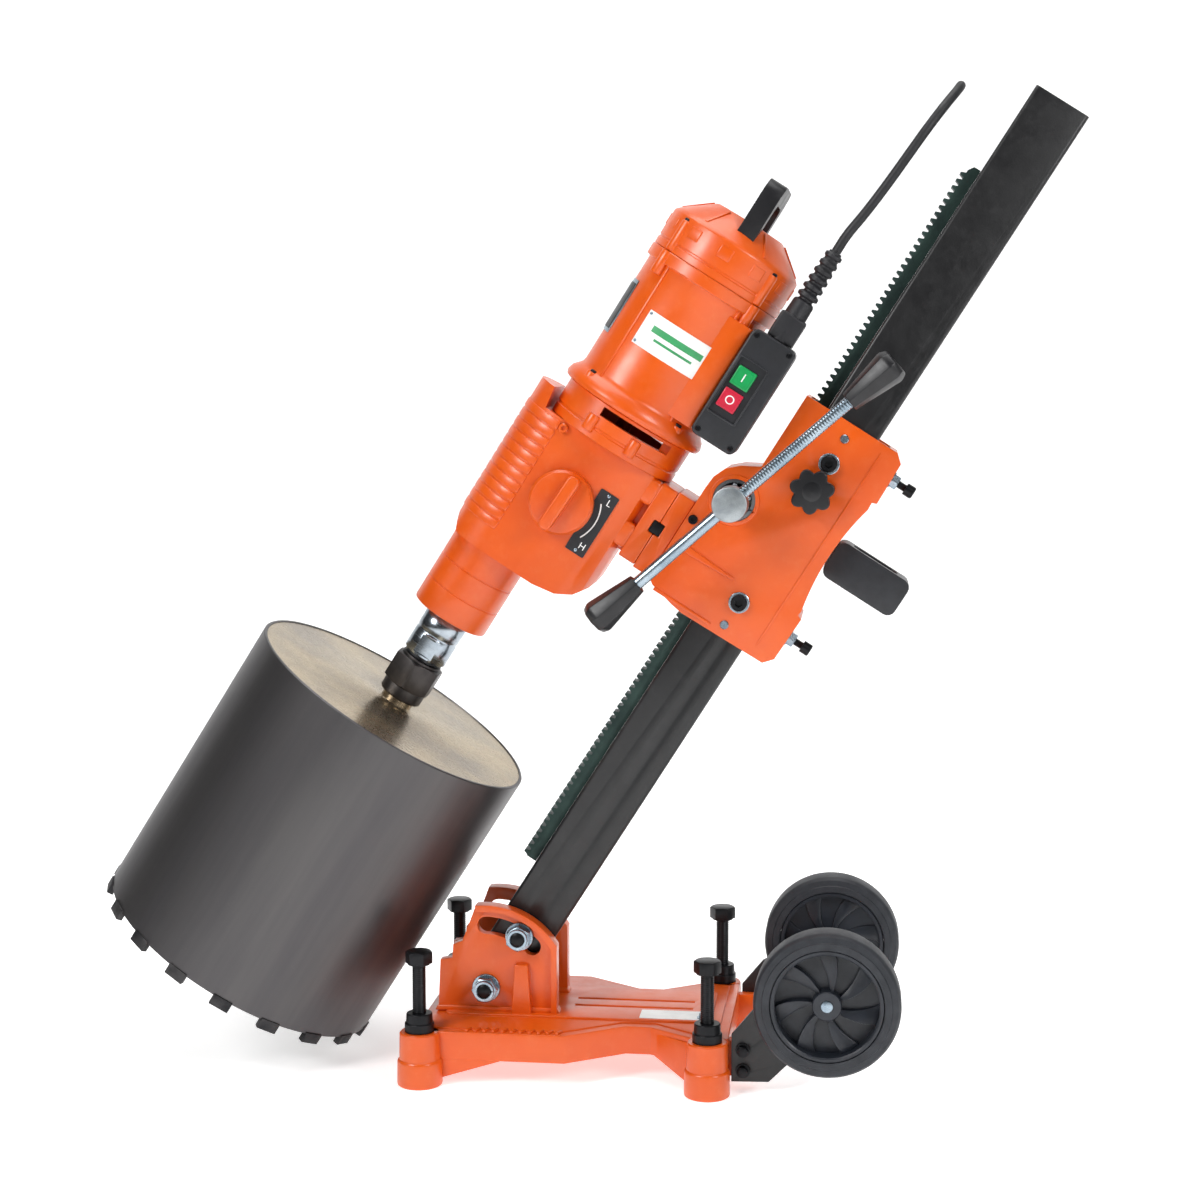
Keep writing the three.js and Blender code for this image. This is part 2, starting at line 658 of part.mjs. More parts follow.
// carrying handle: a rubber-covered loop standing across the cap
const handleU = -194;
const handleTop = 882;
const handleFrame = cut(
  prismX(roundedRect(-58, 58, 800, handleTop, 18), handleU - 10, handleU + 10),
  prismX(roundedRect(-38, 38, 780, handleTop - 20, 12), handleU - 20, handleU + 20),
  turned([[0, 760], [75.4, 760], [75.4, 804.2], [70.3, 809.4], [40.2, 832.4], [0, 834.4]], "z",
    motorAt, 28),
);
addPiece(column, "carry_handle", blackPlastic, handleFrame.decompose()[0]);

// ---- switch box ----
const switchFront = -76;
const switchBack = -32;
const buttonHalf = 10.5;
const buttonU = -117;
const buttons = [["on_button", 696.5, greenPlastic], ["off_button", 670.5, redPlastic]];
const wells = buttons.map(([, s]) => {
  const reach = buttonHalf + gap;
  return box(buttonU - reach, buttonU + reach, switchFront - 1, switchFront + 14, s - reach, s + reach);
});
const switchBox = cut(
  prismY(roundedRect(-135.6, -84, 623, 747, 7), switchFront, switchBack),
  box(-131, -89, switchFront + 8, switchBack - 4, 629, 741),
  box(-132, -99, switchFront - 1, switchFront + 2.5, 652, 715),
  ...wells,
);
addPiece(column, "switch_box", blackPlastic, switchBox);
for (const [name, s, material] of buttons) {
  const button = join(
    box(buttonU - buttonHalf, buttonU + buttonHalf, switchFront - 1.5, switchFront + 7, s - buttonHalf,
      s + buttonHalf),
    rod(4, switchFront + 6, switchFront + 16, "y", [buttonU, s], 16),
  );
  addPiece(column, name, material, button);
}

const leadU = -107.5;
const leadY = -53;
const leadS = 853;
function strainRelief() {
  const profile = [[0, 747 + gap], [15, 747 + gap], [14, 772], [12, 776], [11.5, 794]];
  for (let i = 0; i < 6; i++) {
    const s = 795 + i * 9.4;
    const wide = 11.5 - i * 0.4;
    profile.push([8, s + 2], [wide, s + 4], [wide, s + 8]);
  }
  profile.push([7, leadS - 1], [7, leadS], [0, leadS]);
  const gland = box(leadU - 14.5, leadU + 14.5, leadY - 14.5, leadY + 14.5, 747 + gap, 777);
  return join(turned(profile, "z", [leadU, leadY], 10), gland);
}
addPiece(column, "strain_relief", blackPlastic, strainRelief());

// ---- chuck and bit ----
const chuck = join(
  prismZ(hexagon(...spindleAt, 51, 30), 220, 252),
  turned([[0, 206], [22, 206], [24, 208], [24, 221], [0, 221]], "z", spindleAt, 20),
  turned([[0, 251], [23, 251], [23, 255], [0, 255]], "z", spindleAt, 20),
);
addPiece(column, "chuck", blackSteel, chuck);

const barrelWall = 4;
const barrelBottom = bitBottom + 10;
function coreBit() {
  const inner = bitRadius - barrelWall;
  let body = turned([[inner, barrelBottom], [bitRadius, barrelBottom], [bitRadius, bitTop], [18, bitTop],
    [18, 206 - gap], [0, 206 - gap], [0, bitTop - 8], [inner, bitTop - 8]], "z", spindleAt, 36);
  for (let i = 0; i < segmentCount; i++) {
    const g = new THREE.BoxGeometry(7, 22, 12);
    g.translate(bitRadius - 2, 0, bitBottom + 6);
    g.rotateZ((i * 2 * Math.PI) / segmentCount);
    g.translate(drillAxis, 0, 0);
    body = body.add(solid(g));
  }
  return body;
}
addPiece(column, "core_bit", bitSteel, coreBit());

// ---- mains lead ----
// It rises out of the strain relief, arches over and comes back down behind the motor, where its
// coil hangs on the gearbox's post; the plug hangs below the coil.
const coilX = 7.5;
const coilZ = 654.6;
const coilInner = 42.5;
const coilOuter = 62.5;
const coilFrom = 83;
const coilTo = 123;
const plugX = coilX - 57.5;
const plugY = 101;
const plugTop = coilZ - 60;
const leadPoints = [
  [268.8, -53, 865.2], [279, -53, 881], [297, -53, 903], [319, -52, 932], [341, -49, 963], [360, -43, 990],
  [377, -31, 1013], [389, -13, 1029], [393, 8, 1036], [390.3, 27, 1033.6], [379.4, 50, 1022.3],
  [362.5, 69, 1001.7], [342.9, 81, 975.1], [319.6, 87, 943], [296.3, 90, 912.4], [277.2, 91, 889],
  [266.3, 91, 872.5], [236, 91, 824.2], [218.9, 91, 797.2], [186.4, 91, 757], [158, 91, 737], [125, 90,
    725],
  [90, 89, 718.5], [59, 88, 714.6],
];
const tailPoints = [[plugX, plugY, coilZ - 36.3], [plugX, plugY, coilZ - 48], [plugX, plugY,
  plugTop + 0.3]];
function cordTube(points, steps) {
  const curve = new THREE.CatmullRomCurve3(points.map((p) => new THREE.Vector3(...p)), false,
    "centripetal");
  const section = new THREE.Shape(arc(0, 0, cordDiameter / 2, 0, 315, 7).map(([x,
    y]) => new THREE.Vector2(x, y)));
  return solid(new THREE.ExtrudeGeometry(section, { steps, extrudePath: curve, bevelEnabled: false }));
}
addPiece(rig, "cord_lead", rubber, cordTube(leadPoints, 30));
addPiece(rig, "cord_tail", rubber, cordTube(tailPoints, 6));
addPiece(rig, "cord_coil", rubber, tube(coilOuter, coilInner, coilFrom, coilTo, "y", [coilX, coilZ], 32));
const plugProfile = [[0, -58], [18, -58], [19, -56], [19, -30], [13, -18], [8, 0], [0, 0]];
const plugBody = turned(plugProfile.map(([r, h]) => [r, plugTop + h]), "z", [plugX, plugY], 24);
const pins = [-9.5, 9.5].map((x) => rod(2.4, plugTop - 77, plugTop - 56, "z", [plugX + x, plugY], 12));
addPiece(rig, "plug", rubber, join(plugBody, ...pins));

export default rig;
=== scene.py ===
import json
import math
import bpy
from mathutils import Matrix, Vector


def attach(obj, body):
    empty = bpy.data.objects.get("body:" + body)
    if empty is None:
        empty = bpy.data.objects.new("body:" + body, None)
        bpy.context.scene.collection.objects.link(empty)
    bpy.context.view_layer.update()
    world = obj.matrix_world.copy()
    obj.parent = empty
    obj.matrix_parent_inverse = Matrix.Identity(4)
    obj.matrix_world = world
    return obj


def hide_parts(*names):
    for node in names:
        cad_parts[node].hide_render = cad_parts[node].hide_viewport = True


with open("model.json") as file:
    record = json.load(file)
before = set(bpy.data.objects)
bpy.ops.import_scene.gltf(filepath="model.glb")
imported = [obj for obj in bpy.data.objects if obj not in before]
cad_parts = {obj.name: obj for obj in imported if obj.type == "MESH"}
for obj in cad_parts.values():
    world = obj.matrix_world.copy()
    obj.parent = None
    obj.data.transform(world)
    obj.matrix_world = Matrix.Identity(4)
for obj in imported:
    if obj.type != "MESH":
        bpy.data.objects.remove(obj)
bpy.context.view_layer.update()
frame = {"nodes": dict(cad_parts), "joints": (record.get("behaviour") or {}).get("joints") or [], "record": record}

jointOf = {joint["name"]: joint for joint in frame["joints"]}

# Two working frames in millimetres: the base stands on the floor, the column leans on its pivot.
slideAxis = Vector(jointOf["carriage_slide"]["axis"])
tilt = math.atan2(slideAxis.x, slideAxis.z)
millimetres = Matrix.Scale(0.001, 4)
axleToBase = 0.274
baseMiddle = jointOf["wheel_front_roll"]["pos_m"][0] - axleToBase
baseFrame = Matrix.Translation((baseMiddle, 0, 0)) @ millimetres
columnFrame = Matrix.Translation(jointOf["column_tilt"]["pos_m"]) @ Matrix.Rotation(tilt, 4, "Y") @ millimetres
worldFrame = millimetres


def onColumn(jointName):
    place = columnFrame.inverted() @ Vector(jointOf[jointName]["pos_m"])
    return place.x, place.z


# ---------- camera, light and floor ----------
cameraSet = {"place": (0.3085, -2.3108, 0.7506), "down": 6.106, "left": 7.09, "lens": 65.76}
bpy.ops.object.camera_add(
    location=cameraSet["place"],
    rotation=(math.radians(90 - cameraSet["down"]), 0, math.radians(cameraSet["left"])),
)
camera = bpy.context.object
camera.data.lens = cameraSet["lens"]
camera.data.sensor_width = 36
bpy.context.scene.camera = camera


def areaLight(place, target, size, power):
    bpy.ops.object.light_add(type="AREA", location=place)
    lamp = bpy.context.object
    lamp.data.energy = power
    lamp.data.size = size
    lamp.rotation_euler = (Vector(target) - Vector(place)).to_track_quat("-Z", "Y").to_euler()


areaLight((-2.0, -2.6, 2.6), (0, 0, 0.5), 1.3, 84)
areaLight((2.6, -2.0, 1.9), (0, 0, 0.5), 1.0, 46)
areaLight((0.2, 0.4, 4.2), (0.0, 1.6, 0.2), 3.0, 112)
world = bpy.data.worlds.new("studio")
bpy.context.scene.world = world
world.use_nodes = True
sky = world.node_tree
direction = sky.nodes.new("ShaderNodeTexCoord")
split = sky.nodes.new("ShaderNodeSeparateXYZ")
ramp = sky.nodes.new("ShaderNodeMapRange")
sky.links.new(direction.outputs["Generated"], split.inputs[0])
sky.links.new(split.outputs["Z"], ramp.inputs[0])
ramp.inputs[1].default_value = -0.1
ramp.inputs[2].default_value = 0.7
ramp.inputs[3].default_value = 0.5
ramp.inputs[4].default_value = 1.2
sky.links.new(ramp.outputs[0], sky.nodes["Background"].inputs["Strength"])
bpy.context.scene.view_settings.view_transform = "Standard"
print("camera and light")



# ---------- mains lead ----------
# It rises out of the strain relief, arches over, comes back down behind the motor, winds round the
# gearbox's cord post in two layers and ends in the plug below.
lead = {"diameter": 10, "length": 2.57, "coilX": 7.5, "coilZ": 654.6, "inner": 47.5, "outer": 57.5,
        "firstLane": 88, "pitch": 10, "innerTurns": 3, "outerTurns": 1.75, "stepsPerTurn": 24}
plug = {"x": lead["coilX"] - lead["outer"], "y": 101, "top": lead["coilZ"] - 60}
leadRise = [
    (268.8, -53, 865.2), (279, -53, 881), (297, -53, 903), (319, -52, 932), (341, -49, 963), (360, -43, 990),
    (377, -31, 1013), (389, -13, 1029), (393, 8, 1036), (390.3, 27, 1033.6), (379.4, 50, 1022.3),
    (362.5, 69, 1001.7), (342.9, 81, 975.1), (319.6, 87, 943), (296.3, 90, 912.4), (277.2, 91, 889),
    (266.3, 91, 872.5), (236, 91, 824.2), (218.9, 91, 797.2), (186.4, 91, 757), (158, 91, 737), (125, 90, 725),
    (90, 89, 718.5), (59, 88, 714.6), (33, 88, 712.7),
]
leadTail = [(plug["x"], plug["y"], lead["coilZ"] - drop) for drop in (12, 24, 36.3, 48, 59.7)]


def coilPoints():
    # quarter turn in, the inner layer, quarter turn out, the outer layer back
    stages = [
        (0.25, lead["outer"], lead["inner"], 0),
        (lead["innerTurns"], lead["inner"], lead["inner"], lead["pitch"]),
        (0.25, lead["inner"], lead["outer"], 0),
        (lead["outerTurns"], lead["outer"], lead["outer"], -lead["pitch"]),
    ]
    points = []
    turned, lane = 0, lead["firstLane"]
    for turns, fromRadius, toRadius, pitch in stages:
        steps = round(turns * lead["stepsPerTurn"])
        for i in range(steps):
            share = i / steps
            radius = fromRadius + (toRadius - fromRadius) * (3 - 2 * share) * share * share
            angle = 2 * math.pi * (0.25 + turned + turns * share)
            points.append((lead["coilX"] + radius * math.cos(angle), lane + pitch * turns * share,
                           lead["coilZ"] + radius * math.sin(angle)))
        turned += turns
        lane += pitch * turns
    points.append((lead["coilX"] - lead["outer"], lane, lead["coilZ"]))
    return points


leadRoute = [Vector(point) * 0.001 for point in leadRise + coilPoints() + leadTail]
leadCurve = bpy.data.curves.new("mainsLead", "CURVE")
leadCurve.dimensions = "3D"
leadCurve.bevel_depth = lead["diameter"] / 2000
leadCurve.bevel_resolution = 4
leadCurve.resolution_u = 6
leadCurve.use_fill_caps = True
leadSpline = leadCurve.splines.new("BEZIER")
leadSpline.bezier_points.add(len(leadRoute) - 1)
for knot, point in zip(leadSpline.bezier_points, leadRoute):
    knot.co = point
    knot.handle_left_type = knot.handle_right_type = "AUTO"
mainsLead = bpy.data.objects.new("mainsLead", leadCurve)
bpy.context.scene.collection.objects.link(mainsLead)
print("mains lead", round(sum((b - a).length for a, b in zip(leadRoute, leadRoute[1:])), 3))


# ---------- materials ----------
class Wire:
    # an output socket that can stand in a sum
    def __init__(self, graph, socket):
        self.graph = graph
        self.socket = socket

    def maths(self, operation, first, second):
        return self.graph.node("ShaderNodeMath", {"operation": operation}, {0: first, 1: second})

    def __add__(self, other):
        return self.maths("ADD", self, other)

    def __radd__(self, other):
        return self.maths("ADD", other, self)

    def __sub__(self, other):
        return self.maths("SUBTRACT", self, other)

    def __rsub__(self, other):
        return self.maths("SUBTRACT", other, self)

    def __mul__(self, other):
        return self.maths("MULTIPLY", self, other)

    def __rmul__(self, other):
        return self.maths("MULTIPLY", other, self)


class Graph:
    # one material and its nodes
    def __init__(self, name):
        self.material = bpy.data.materials.new(name)
        self.material.use_nodes = True
        self.tree = self.material.node_tree
        self.tree.nodes.clear()

    def node(self, kind, settings, inputs, output=0):
        made = self.tree.nodes.new(kind)
        for key, value in settings.items():
            if key == "stops":
                while len(made.color_ramp.elements) < len(value):
                    made.color_ramp.elements.new(0.5)
                for stop, (where, colour) in zip(made.color_ramp.elements, value):
                    stop.position = where
                    stop.color = (*colour, 1)
            else:
                setattr(made, key, value)
        for key, value in inputs.items():
            if isinstance(value, Wire):
                self.tree.links.new(value.socket, made.inputs[key])
            else:
                made.inputs[key].default_value = value
        return Wire(self, made.outputs[output])

    def place(self, scale=(1, 1, 1), turn=(0, 0, 0)):
        coordinates = self.node("ShaderNodeTexCoord", {}, {}, "Object")
        turned = self.node("ShaderNodeMapping", {}, {"Vector": coordinates, "Rotation": turn})
        return self.node("ShaderNodeMapping", {}, {"Vector": turned, "Scale": scale})

    def noise(self, size, detail=3, roughness=0.5, vector=None):
        inputs = {"Scale": 1 / size, "Detail": detail, "Roughness": roughness, "Vector": vector or self.place()}
        return self.node("ShaderNodeTexNoise", {}, inputs, "Fac")

    def mix(self, factor, first, second):
        inputs = {0: factor, 6: first, 7: second}
        return self.node("ShaderNodeMix", {"data_type": "RGBA"}, inputs, 2)

    def span(self, value, low, high, toLow, toHigh):
        inputs = {0: value, 1: low, 2: high, 3: toLow, 4: toHigh}
        return self.node("ShaderNodeMapRange", {}, inputs)

    def bump(self, height, strength, distance, normal=None):
        inputs = {"Height": height, "Strength": strength, "Distance": distance}
        if normal:
            inputs["Normal"] = normal
        return self.node("ShaderNodeBump", {}, inputs)

    def finish(self, inputs):
        shader = self.node("ShaderNodeBsdfPrincipled", {}, inputs)
        surface = self.tree.nodes.new("ShaderNodeOutputMaterial")
        self.tree.links.new(shader.socket, surface.inputs["Surface"])
        return self.material


def rgb(red, green, blue):
    def linear(value):
        value /= 255
        return value / 12.92 if value <= 0.04045 else ((value + 0.055) / 1.055) ** 2.4

    return (linear(red), linear(green), linear(blue), 1)


leaning = (0, -tilt, 0)  # turns a pattern's Z along the column


def makePaint(name, colour, shade, roughness, peel=0.12, coat=0.5):
    g = Graph(name)
    cloud = g.noise(0.09, 4, 0.6)
    dust = g.span(g.noise(0.012, 5, 0.7), 0.52, 0.72, 0, 0.35)
    tone = g.mix(g.span(cloud, 0.3, 0.7, 0, 1), colour, shade)
    skin = g.noise(0.0016, 2, 0.5)
    chips = g.noise(0.02, 3, 0.6)
    return g.finish({
        "Base Color": g.mix(dust * 0.25, tone, rgb(236, 150, 96) if colour[0] > 0.2 else rgb(70, 70, 72)),
        "Roughness": g.span(chips, 0.2, 0.8, roughness - 0.06, roughness + 0.12) + dust * 0.15,
        "Coat Weight": coat,
        "Coat Roughness": 0.22,
        "Normal": g.bump(skin, peel, 0.0006),
    })


def makeMetal(name, colour, shade, roughness, grain=(1, 1, 1), streak=0.1, turn=(0, 0, 0), metallic=1.0):
    g = Graph(name)
    fine = g.noise(0.0012, 3, 0.6, g.place(grain, turn))
    cloud = g.noise(0.03, 4, 0.6)
    tone = g.mix(g.span(cloud, 0.3, 0.7, 0, 1), colour, shade)
    return g.finish({
        "Base Color": g.mix(fine * 0.3, tone, shade),
        "Metallic": metallic,
        "Roughness": g.span(fine, 0.2, 0.8, roughness - 0.08, roughness + 0.1) + cloud * 0.08,
        "Normal": g.bump(fine, streak, 0.0003),
    })


def makePlastic(name, colour, shade, roughness, grain=0.0008, depth=0.2):
    g = Graph(name)
    pores = g.noise(grain, 2, 0.5)
    wear = g.noise(0.02, 5, 0.65)
    return g.finish({
        "Base Color": g.mix(g.span(wear, 0.4, 0.7, 0, 1), colour, shade),
        "Roughness": g.span(wear, 0.3, 0.7, roughness - 0.05, roughness + 0.1),
        "Normal": g.bump(pores, depth, 0.0004),
    })


def makeBarrel(name):
    # rolled tube: fine rings round the axis, faint long streaks along it, a few scuffs
    g = Graph(name)
    rings = g.noise(0.0012, 2, 0.5, g.place((0.05, 0.05, 1), leaning))
    streaks = g.noise(0.03, 4, 0.6, g.place((1, 1, 0.08), leaning))
    scuffs = g.span(g.noise(0.006, 5, 0.75), 0.66, 0.74, 0, 0.5)
    tone = g.mix(g.span(streaks, 0.3, 0.7, 0, 1), rgb(92, 90, 90), rgb(82, 80, 82))
    return g.finish({
        "Base Color": g.mix(scuffs * 0.4, tone, rgb(122, 116, 108)),
        "Metallic": 0.85,
        "Roughness": g.span(streaks, 0.3, 0.7, 0.36, 0.41) + rings * 0.05,
        "Normal": g.bump(rings, 0.05, 0.0002),
    })


def makeBitTop(name):
    g = Graph(name)
    cloud = g.noise(0.12, 4, 0.6)
    fine = g.noise(0.004, 3, 0.6)
    tone = g.mix(g.span(cloud, 0.35, 0.65, 0, 1), rgb(178, 160, 128), rgb(140, 128, 112))
    return g.finish({
        # the orange-brown patches mixed in here are a painted reflection of the orange housing above the plate
        "Base Color": g.mix(g.span(g.noise(0.05, 4, 0.7), 0.55, 0.75, 0, 0.35), tone, rgb(140, 104, 76)),
        "Metallic": 0.9,
        "Roughness": g.span(fine, 0.2, 0.8, 0.24, 0.32),
        "Normal": g.bump(fine, 0.04, 0.0003),
    })


finishes = {
    "orange": makePaint("orangeEnamel", rgb(224, 90, 3), rgb(214, 80, 2), 0.34, 0.05, 0.32),
    "column": makePaint("blackColumnPaint", rgb(20, 20, 22), rgb(14, 14, 16), 0.4, 0.12, 0.2),
    "rack": makeMetal("rackSteel", rgb(58, 80, 74), rgb(38, 54, 52), 0.42, (1, 0.1, 1), 0.15, leaning, 0.6),
    "blackSteel": makeMetal("blackOxideSteel", rgb(30, 31, 34), rgb(18, 19, 22), 0.32, (1, 1, 1), 0.1, (0, 0, 0), 0.6),
    "zinc": makeMetal("zincPlatedSteel", rgb(178, 192, 202), rgb(128, 146, 160), 0.24, (1, 1, 1), 0.06),
    "cast": makeMetal("castHubSteel", rgb(196, 202, 204), rgb(116, 124, 130), 0.38, (1, 1, 1), 0.9),
    "turnedSteel": makeMetal("turnedSteel", rgb(190, 198, 204), rgb(150, 160, 170), 0.18, (0.05, 0.05, 1), 0.05, leaning),
    "chuck": makeMetal("chuckSteel", rgb(86, 82, 80), rgb(60, 58, 58), 0.38, (1, 1, 1), 0.2),
    "gear": makeMetal("gearSteel", rgb(160, 164, 168), rgb(116, 120, 124), 0.3),
    "copper": makeMetal("copperWindings", rgb(184, 110, 62), rgb(140, 76, 40), 0.35, (0.1, 0.1, 1), 0.4, leaning),
    "plastic": makePlastic("blackMouldedPlastic", rgb(40, 41, 45), rgb(30, 31, 34), 0.36),
    "grip": makePlastic("blackGripPlastic", rgb(24, 24, 27), rgb(16, 16, 19), 0.36, 0.002, 0.05),
    "rubber": makePlastic("blackRubber", rgb(30, 30, 34), rgb(22, 22, 25), 0.5, 0.0012, 0.2),
    "wheel": makePlastic("wheelPlastic", rgb(34, 38, 46), rgb(24, 28, 35), 0.36),
    "tyre": makePlastic("tyreRubber", rgb(40, 43, 49), rgb(28, 31, 37), 0.52, 0.002, 0.3),
    "slide": makePlastic("naturalPlastic", rgb(214, 208, 188), rgb(196, 190, 170), 0.5),
    "green": makePlastic("greenPlastic", rgb(24, 158, 84), rgb(18, 138, 72), 0.28, 0.001, 0.05),
    "red": makePlastic("redPlastic", rgb(206, 40, 66), rgb(184, 30, 54), 0.28, 0.001, 0.05),
    "white": makePlastic("whiteEnamel", rgb(244, 244, 242), rgb(232, 232, 230), 0.35, 0.002, 0.05),
    "ink": makePlastic("greenInk", rgb(60, 158, 98), rgb(50, 142, 86), 0.45, 0.002, 0.05),
    "barrel": makeBarrel("bitBarrelSteel"),
    "bitTop": makeBitTop("bitTopSteel"),
    "segment": makeMetal("segmentMatrix", rgb(92, 90, 90), rgb(52, 52, 54), 0.5, (1, 1, 1), 0.8),
}
print("materials", len(finishes))


# ---------- modelling helpers ----------
def clearSelection():
    if bpy.context.object and bpy.context.object.mode != "OBJECT":
        bpy.ops.object.mode_set(mode="OBJECT")
    bpy.ops.object.select_all(action="DESELECT")


def choose(piece):
    clearSelection()
    piece.select_set(True)
    bpy.context.view_layer.objects.active = piece


def fromPoints(name, points, edges, faces):
    mesh = bpy.data.meshes.new(name)
    mesh.from_pydata(points, edges, faces)
    piece = bpy.data.objects.new(name, mesh)
    bpy.context.scene.collection.objects.link(piece)
    choose(piece)
    bpy.ops.object.mode_set(mode="EDIT")
    bpy.ops.mesh.select_all(action="SELECT")
    return piece


def closeUp():
    bpy.ops.mesh.remove_doubles(threshold=0.0005)
    bpy.ops.mesh.normals_make_consistent(inside=False)
    bpy.ops.object.mode_set(mode="OBJECT")


# A turned piece: (radius, height) pairs, from the axis to the axis or round a closed loop.
def turn(profile, sides=72, name="turned"):
    points = [(r, 0, h) for r, h in profile]
    if profile[0][0] > 0:
        points.append(points[0])
    edges = [(i, i + 1) for i in range(len(points) - 1)]
    piece = fromPoints(name, points, edges, [])
    bpy.ops.mesh.spin(steps=sides, angle=2 * math.pi, center=(0, 0, 0), axis=(0, 0, 1))
    closeUp()
    return piece


# An outline pushed through: in X and Z along Y, or for "z" in X and Y along Z, for "x" in Y and Z along X.
def push(outline, low, high, axis="y", name="pushed"):
    spot = {
        "y": lambda a, b: (a, low, b),
        "z": lambda a, b: (a, b, low),
        "x": lambda a, b: (low, a, b),
    }[axis]
    way = {"y": (0, high - low, 0), "z": (0, 0, high - low), "x": (high - low, 0, 0)}[axis]
    points = [spot(a, b) for a, b in outline]
    piece = fromPoints(name, points, [], [list(range(len(points)))])
    bpy.ops.mesh.extrude_region_move(TRANSFORM_OT_translate={"value": way})
    bpy.ops.mesh.select_all(action="SELECT")
    closeUp()
    return piece


def block(low, high, name="block"):
    clearSelection()
    bpy.ops.mesh.primitive_cube_add(size=1, location=[(a + b) / 2 for a, b in zip(low, high)])
    piece = bpy.context.object
    piece.name = name
    piece.scale = [b - a for a, b in zip(low, high)]
    bpy.ops.object.transform_apply(location=True, rotation=True, scale=True)
    return piece


def bar(radius, start, end, sides=32, name="bar"):
    start, end = Vector(start), Vector(end)
    way = end - start
    clearSelection()
    bpy.ops.mesh.primitive_cylinder_add(
        vertices=sides, radius=radius, depth=way.length, location=(start + end) / 2,
        rotation=way.to_track_quat("Z", "Y").to_euler(),
    )
    piece = bpy.context.object
    piece.name = name
    bpy.ops.object.transform_apply(location=True, rotation=True, scale=True)
    return piece


def arc(cx, cy, radius, start, end, steps):
    turns = [math.radians(start + (end - start) * i / steps) for i in range(steps + 1)]
    return [(cx + radius * math.cos(a), cy + radius * math.sin(a)) for a in turns]


def roundRect(x0, x1, y0, y1, r, steps=5):
    return (arc(x1 - r, y0 + r, r, -90, 0, steps) + arc(x1 - r, y1 - r, r, 0, 90, steps)
            + arc(x0 + r, y1 - r, r, 90, 180, steps) + arc(x0 + r, y0 + r, r, 180, 270, steps))


def moved(piece, matrix):
    piece.data.transform(matrix)
    return piece


# Stands a piece turned about Z at (a, b) of a frame, its axis along Y, pointing away from the crank side.
def alongY(piece, a, b):
    return moved(piece, Matrix.Translation((a, 0, b)) @ Matrix.Rotation(math.radians(-90), 4, "X"))


def alongX(piece, y, z):
    return moved(piece, Matrix.Translation((0, y, z)) @ Matrix.Rotation(math.radians(90), 4, "Y"))


def copyOf(piece, matrix=None):
    twin = piece.copy()
    twin.data = piece.data.copy()
    bpy.context.scene.collection.objects.link(twin)
    if matrix:
        twin.data.transform(matrix)
    return twin


def addModifier(piece, kind, **settings):
    choose(piece)
    modifier = piece.modifiers.new(kind.lower(), kind)
    for key, value in settings.items():
        setattr(modifier, key, value)
    bpy.ops.object.modifier_apply(modifier=modifier.name)
    return piece


def soften(piece, width, segments=2, angle=35):
    return addModifier(piece, "BEVEL", width=width, segments=segments, limit_method="ANGLE",
                       angle_limit=math.radians(angle), use_clamp_overlap=True)


def carve(piece, tool, operation="DIFFERENCE"):
    addModifier(piece, "BOOLEAN", object=tool, operation=operation, solver="EXACT")
    bpy.data.objects.remove(tool)
    return piece


def joinAll(pieces):
    clearSelection()
    for piece in pieces:
        piece.select_set(True)
    bpy.context.view_layer.objects.active = pieces[0]
    bpy.ops.object.join()
    return bpy.context.object


made = []


# Puts a modelled piece into the machine: its frame, finish and body.
def fit(piece, name, workFrame, finish, body, stands=(), bevel=0, smooth=30):
    piece.name = piece.data.name = name
    piece.data.transform(workFrame)
    if bevel:
        soften(piece, bevel * 0.001)
    choose(piece)
    bpy.ops.object.shade_smooth_by_angle(angle=math.radians(smooth))
    if len(piece.data.materials) < 2:
        piece.data.materials.clear()
        piece.data.materials.append(finishes[finish])
    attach(piece, body)
    if stands:
        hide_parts(*stands)
    made.append(name)
    return piece


# A merged copy of a CAD node, with its flat faces joined, ready for bevels and cuts, in millimetres.
def tidyCopy(node, workFrame):
    piece = copyOf(frame["nodes"][node], workFrame.inverted())
    piece.parent = None
    for key in list(piece.keys()):
        del piece[key]
    piece.data.materials.clear()
    choose(piece)
    bpy.ops.object.mode_set(mode="EDIT")
    bpy.ops.mesh.select_all(action="SELECT")
    bpy.ops.mesh.remove_doubles(threshold=0.01)
    bpy.ops.mesh.dissolve_limited(angle_limit=math.radians(1))
    bpy.ops.object.mode_set(mode="OBJECT")
    return piece



bodyOf = {node: name for name, body in frame["record"]["behaviour"]["bodies"].items() for node in body}


def hexagon(across, startDegrees=0):
    return arc(0, 0, across / math.sqrt(3), startDegrees, startDegrees + 300, 5)


# A hexagon head or nut about Z with turned corners at the chosen ends.
def hexHead(across, low, high, startDegrees=0, top=True, bottom=False):
    corner = across / math.sqrt(3) + 0.1
    flat = across / 2 - 0.3
    drop = (corner - flat) * 0.55
    profile = [(0, low - 0.1)]
    profile += [(flat, low - 0.1), (corner, low + drop)] if bottom else [(corner + 1, low - 0.1)]
    profile += [(corner, high - drop), (flat, high + 0.02)] if top else [(corner + 1, high + 0.1)]
    profile += [(0, high + 0.02 if top else high + 0.1)]
    return carve(push(hexagon(across, startDegrees), low, high, "z"), turn(profile, 48), "INTERSECT")


# A shank with thread-like ridges about Z.
def threaded(radius, low, high, pitch=2.0, depth=0.7, sides=28):
    turns = round((high - low) / pitch)
    profile = [(0, low), (radius - depth, low)]
    for i in range(turns):
        profile += [(radius, low + (i + 0.5) * pitch), (radius - depth, low + (i + 1) * pitch)]
    return turn(profile + [(0, profile[-1][1])], sides)


# A socket cap screw about Z: its head stands from z = 0 up, with a hexagon socket in the top.
def capScrew(radius, height, socket):
    head = turn([(0, 0), (radius, 0), (radius, height - 0.9), (radius - 0.9, height), (0, height)], 40)
    return carve(head, push(hexagon(socket), height * 0.45, height + 1, "z"))


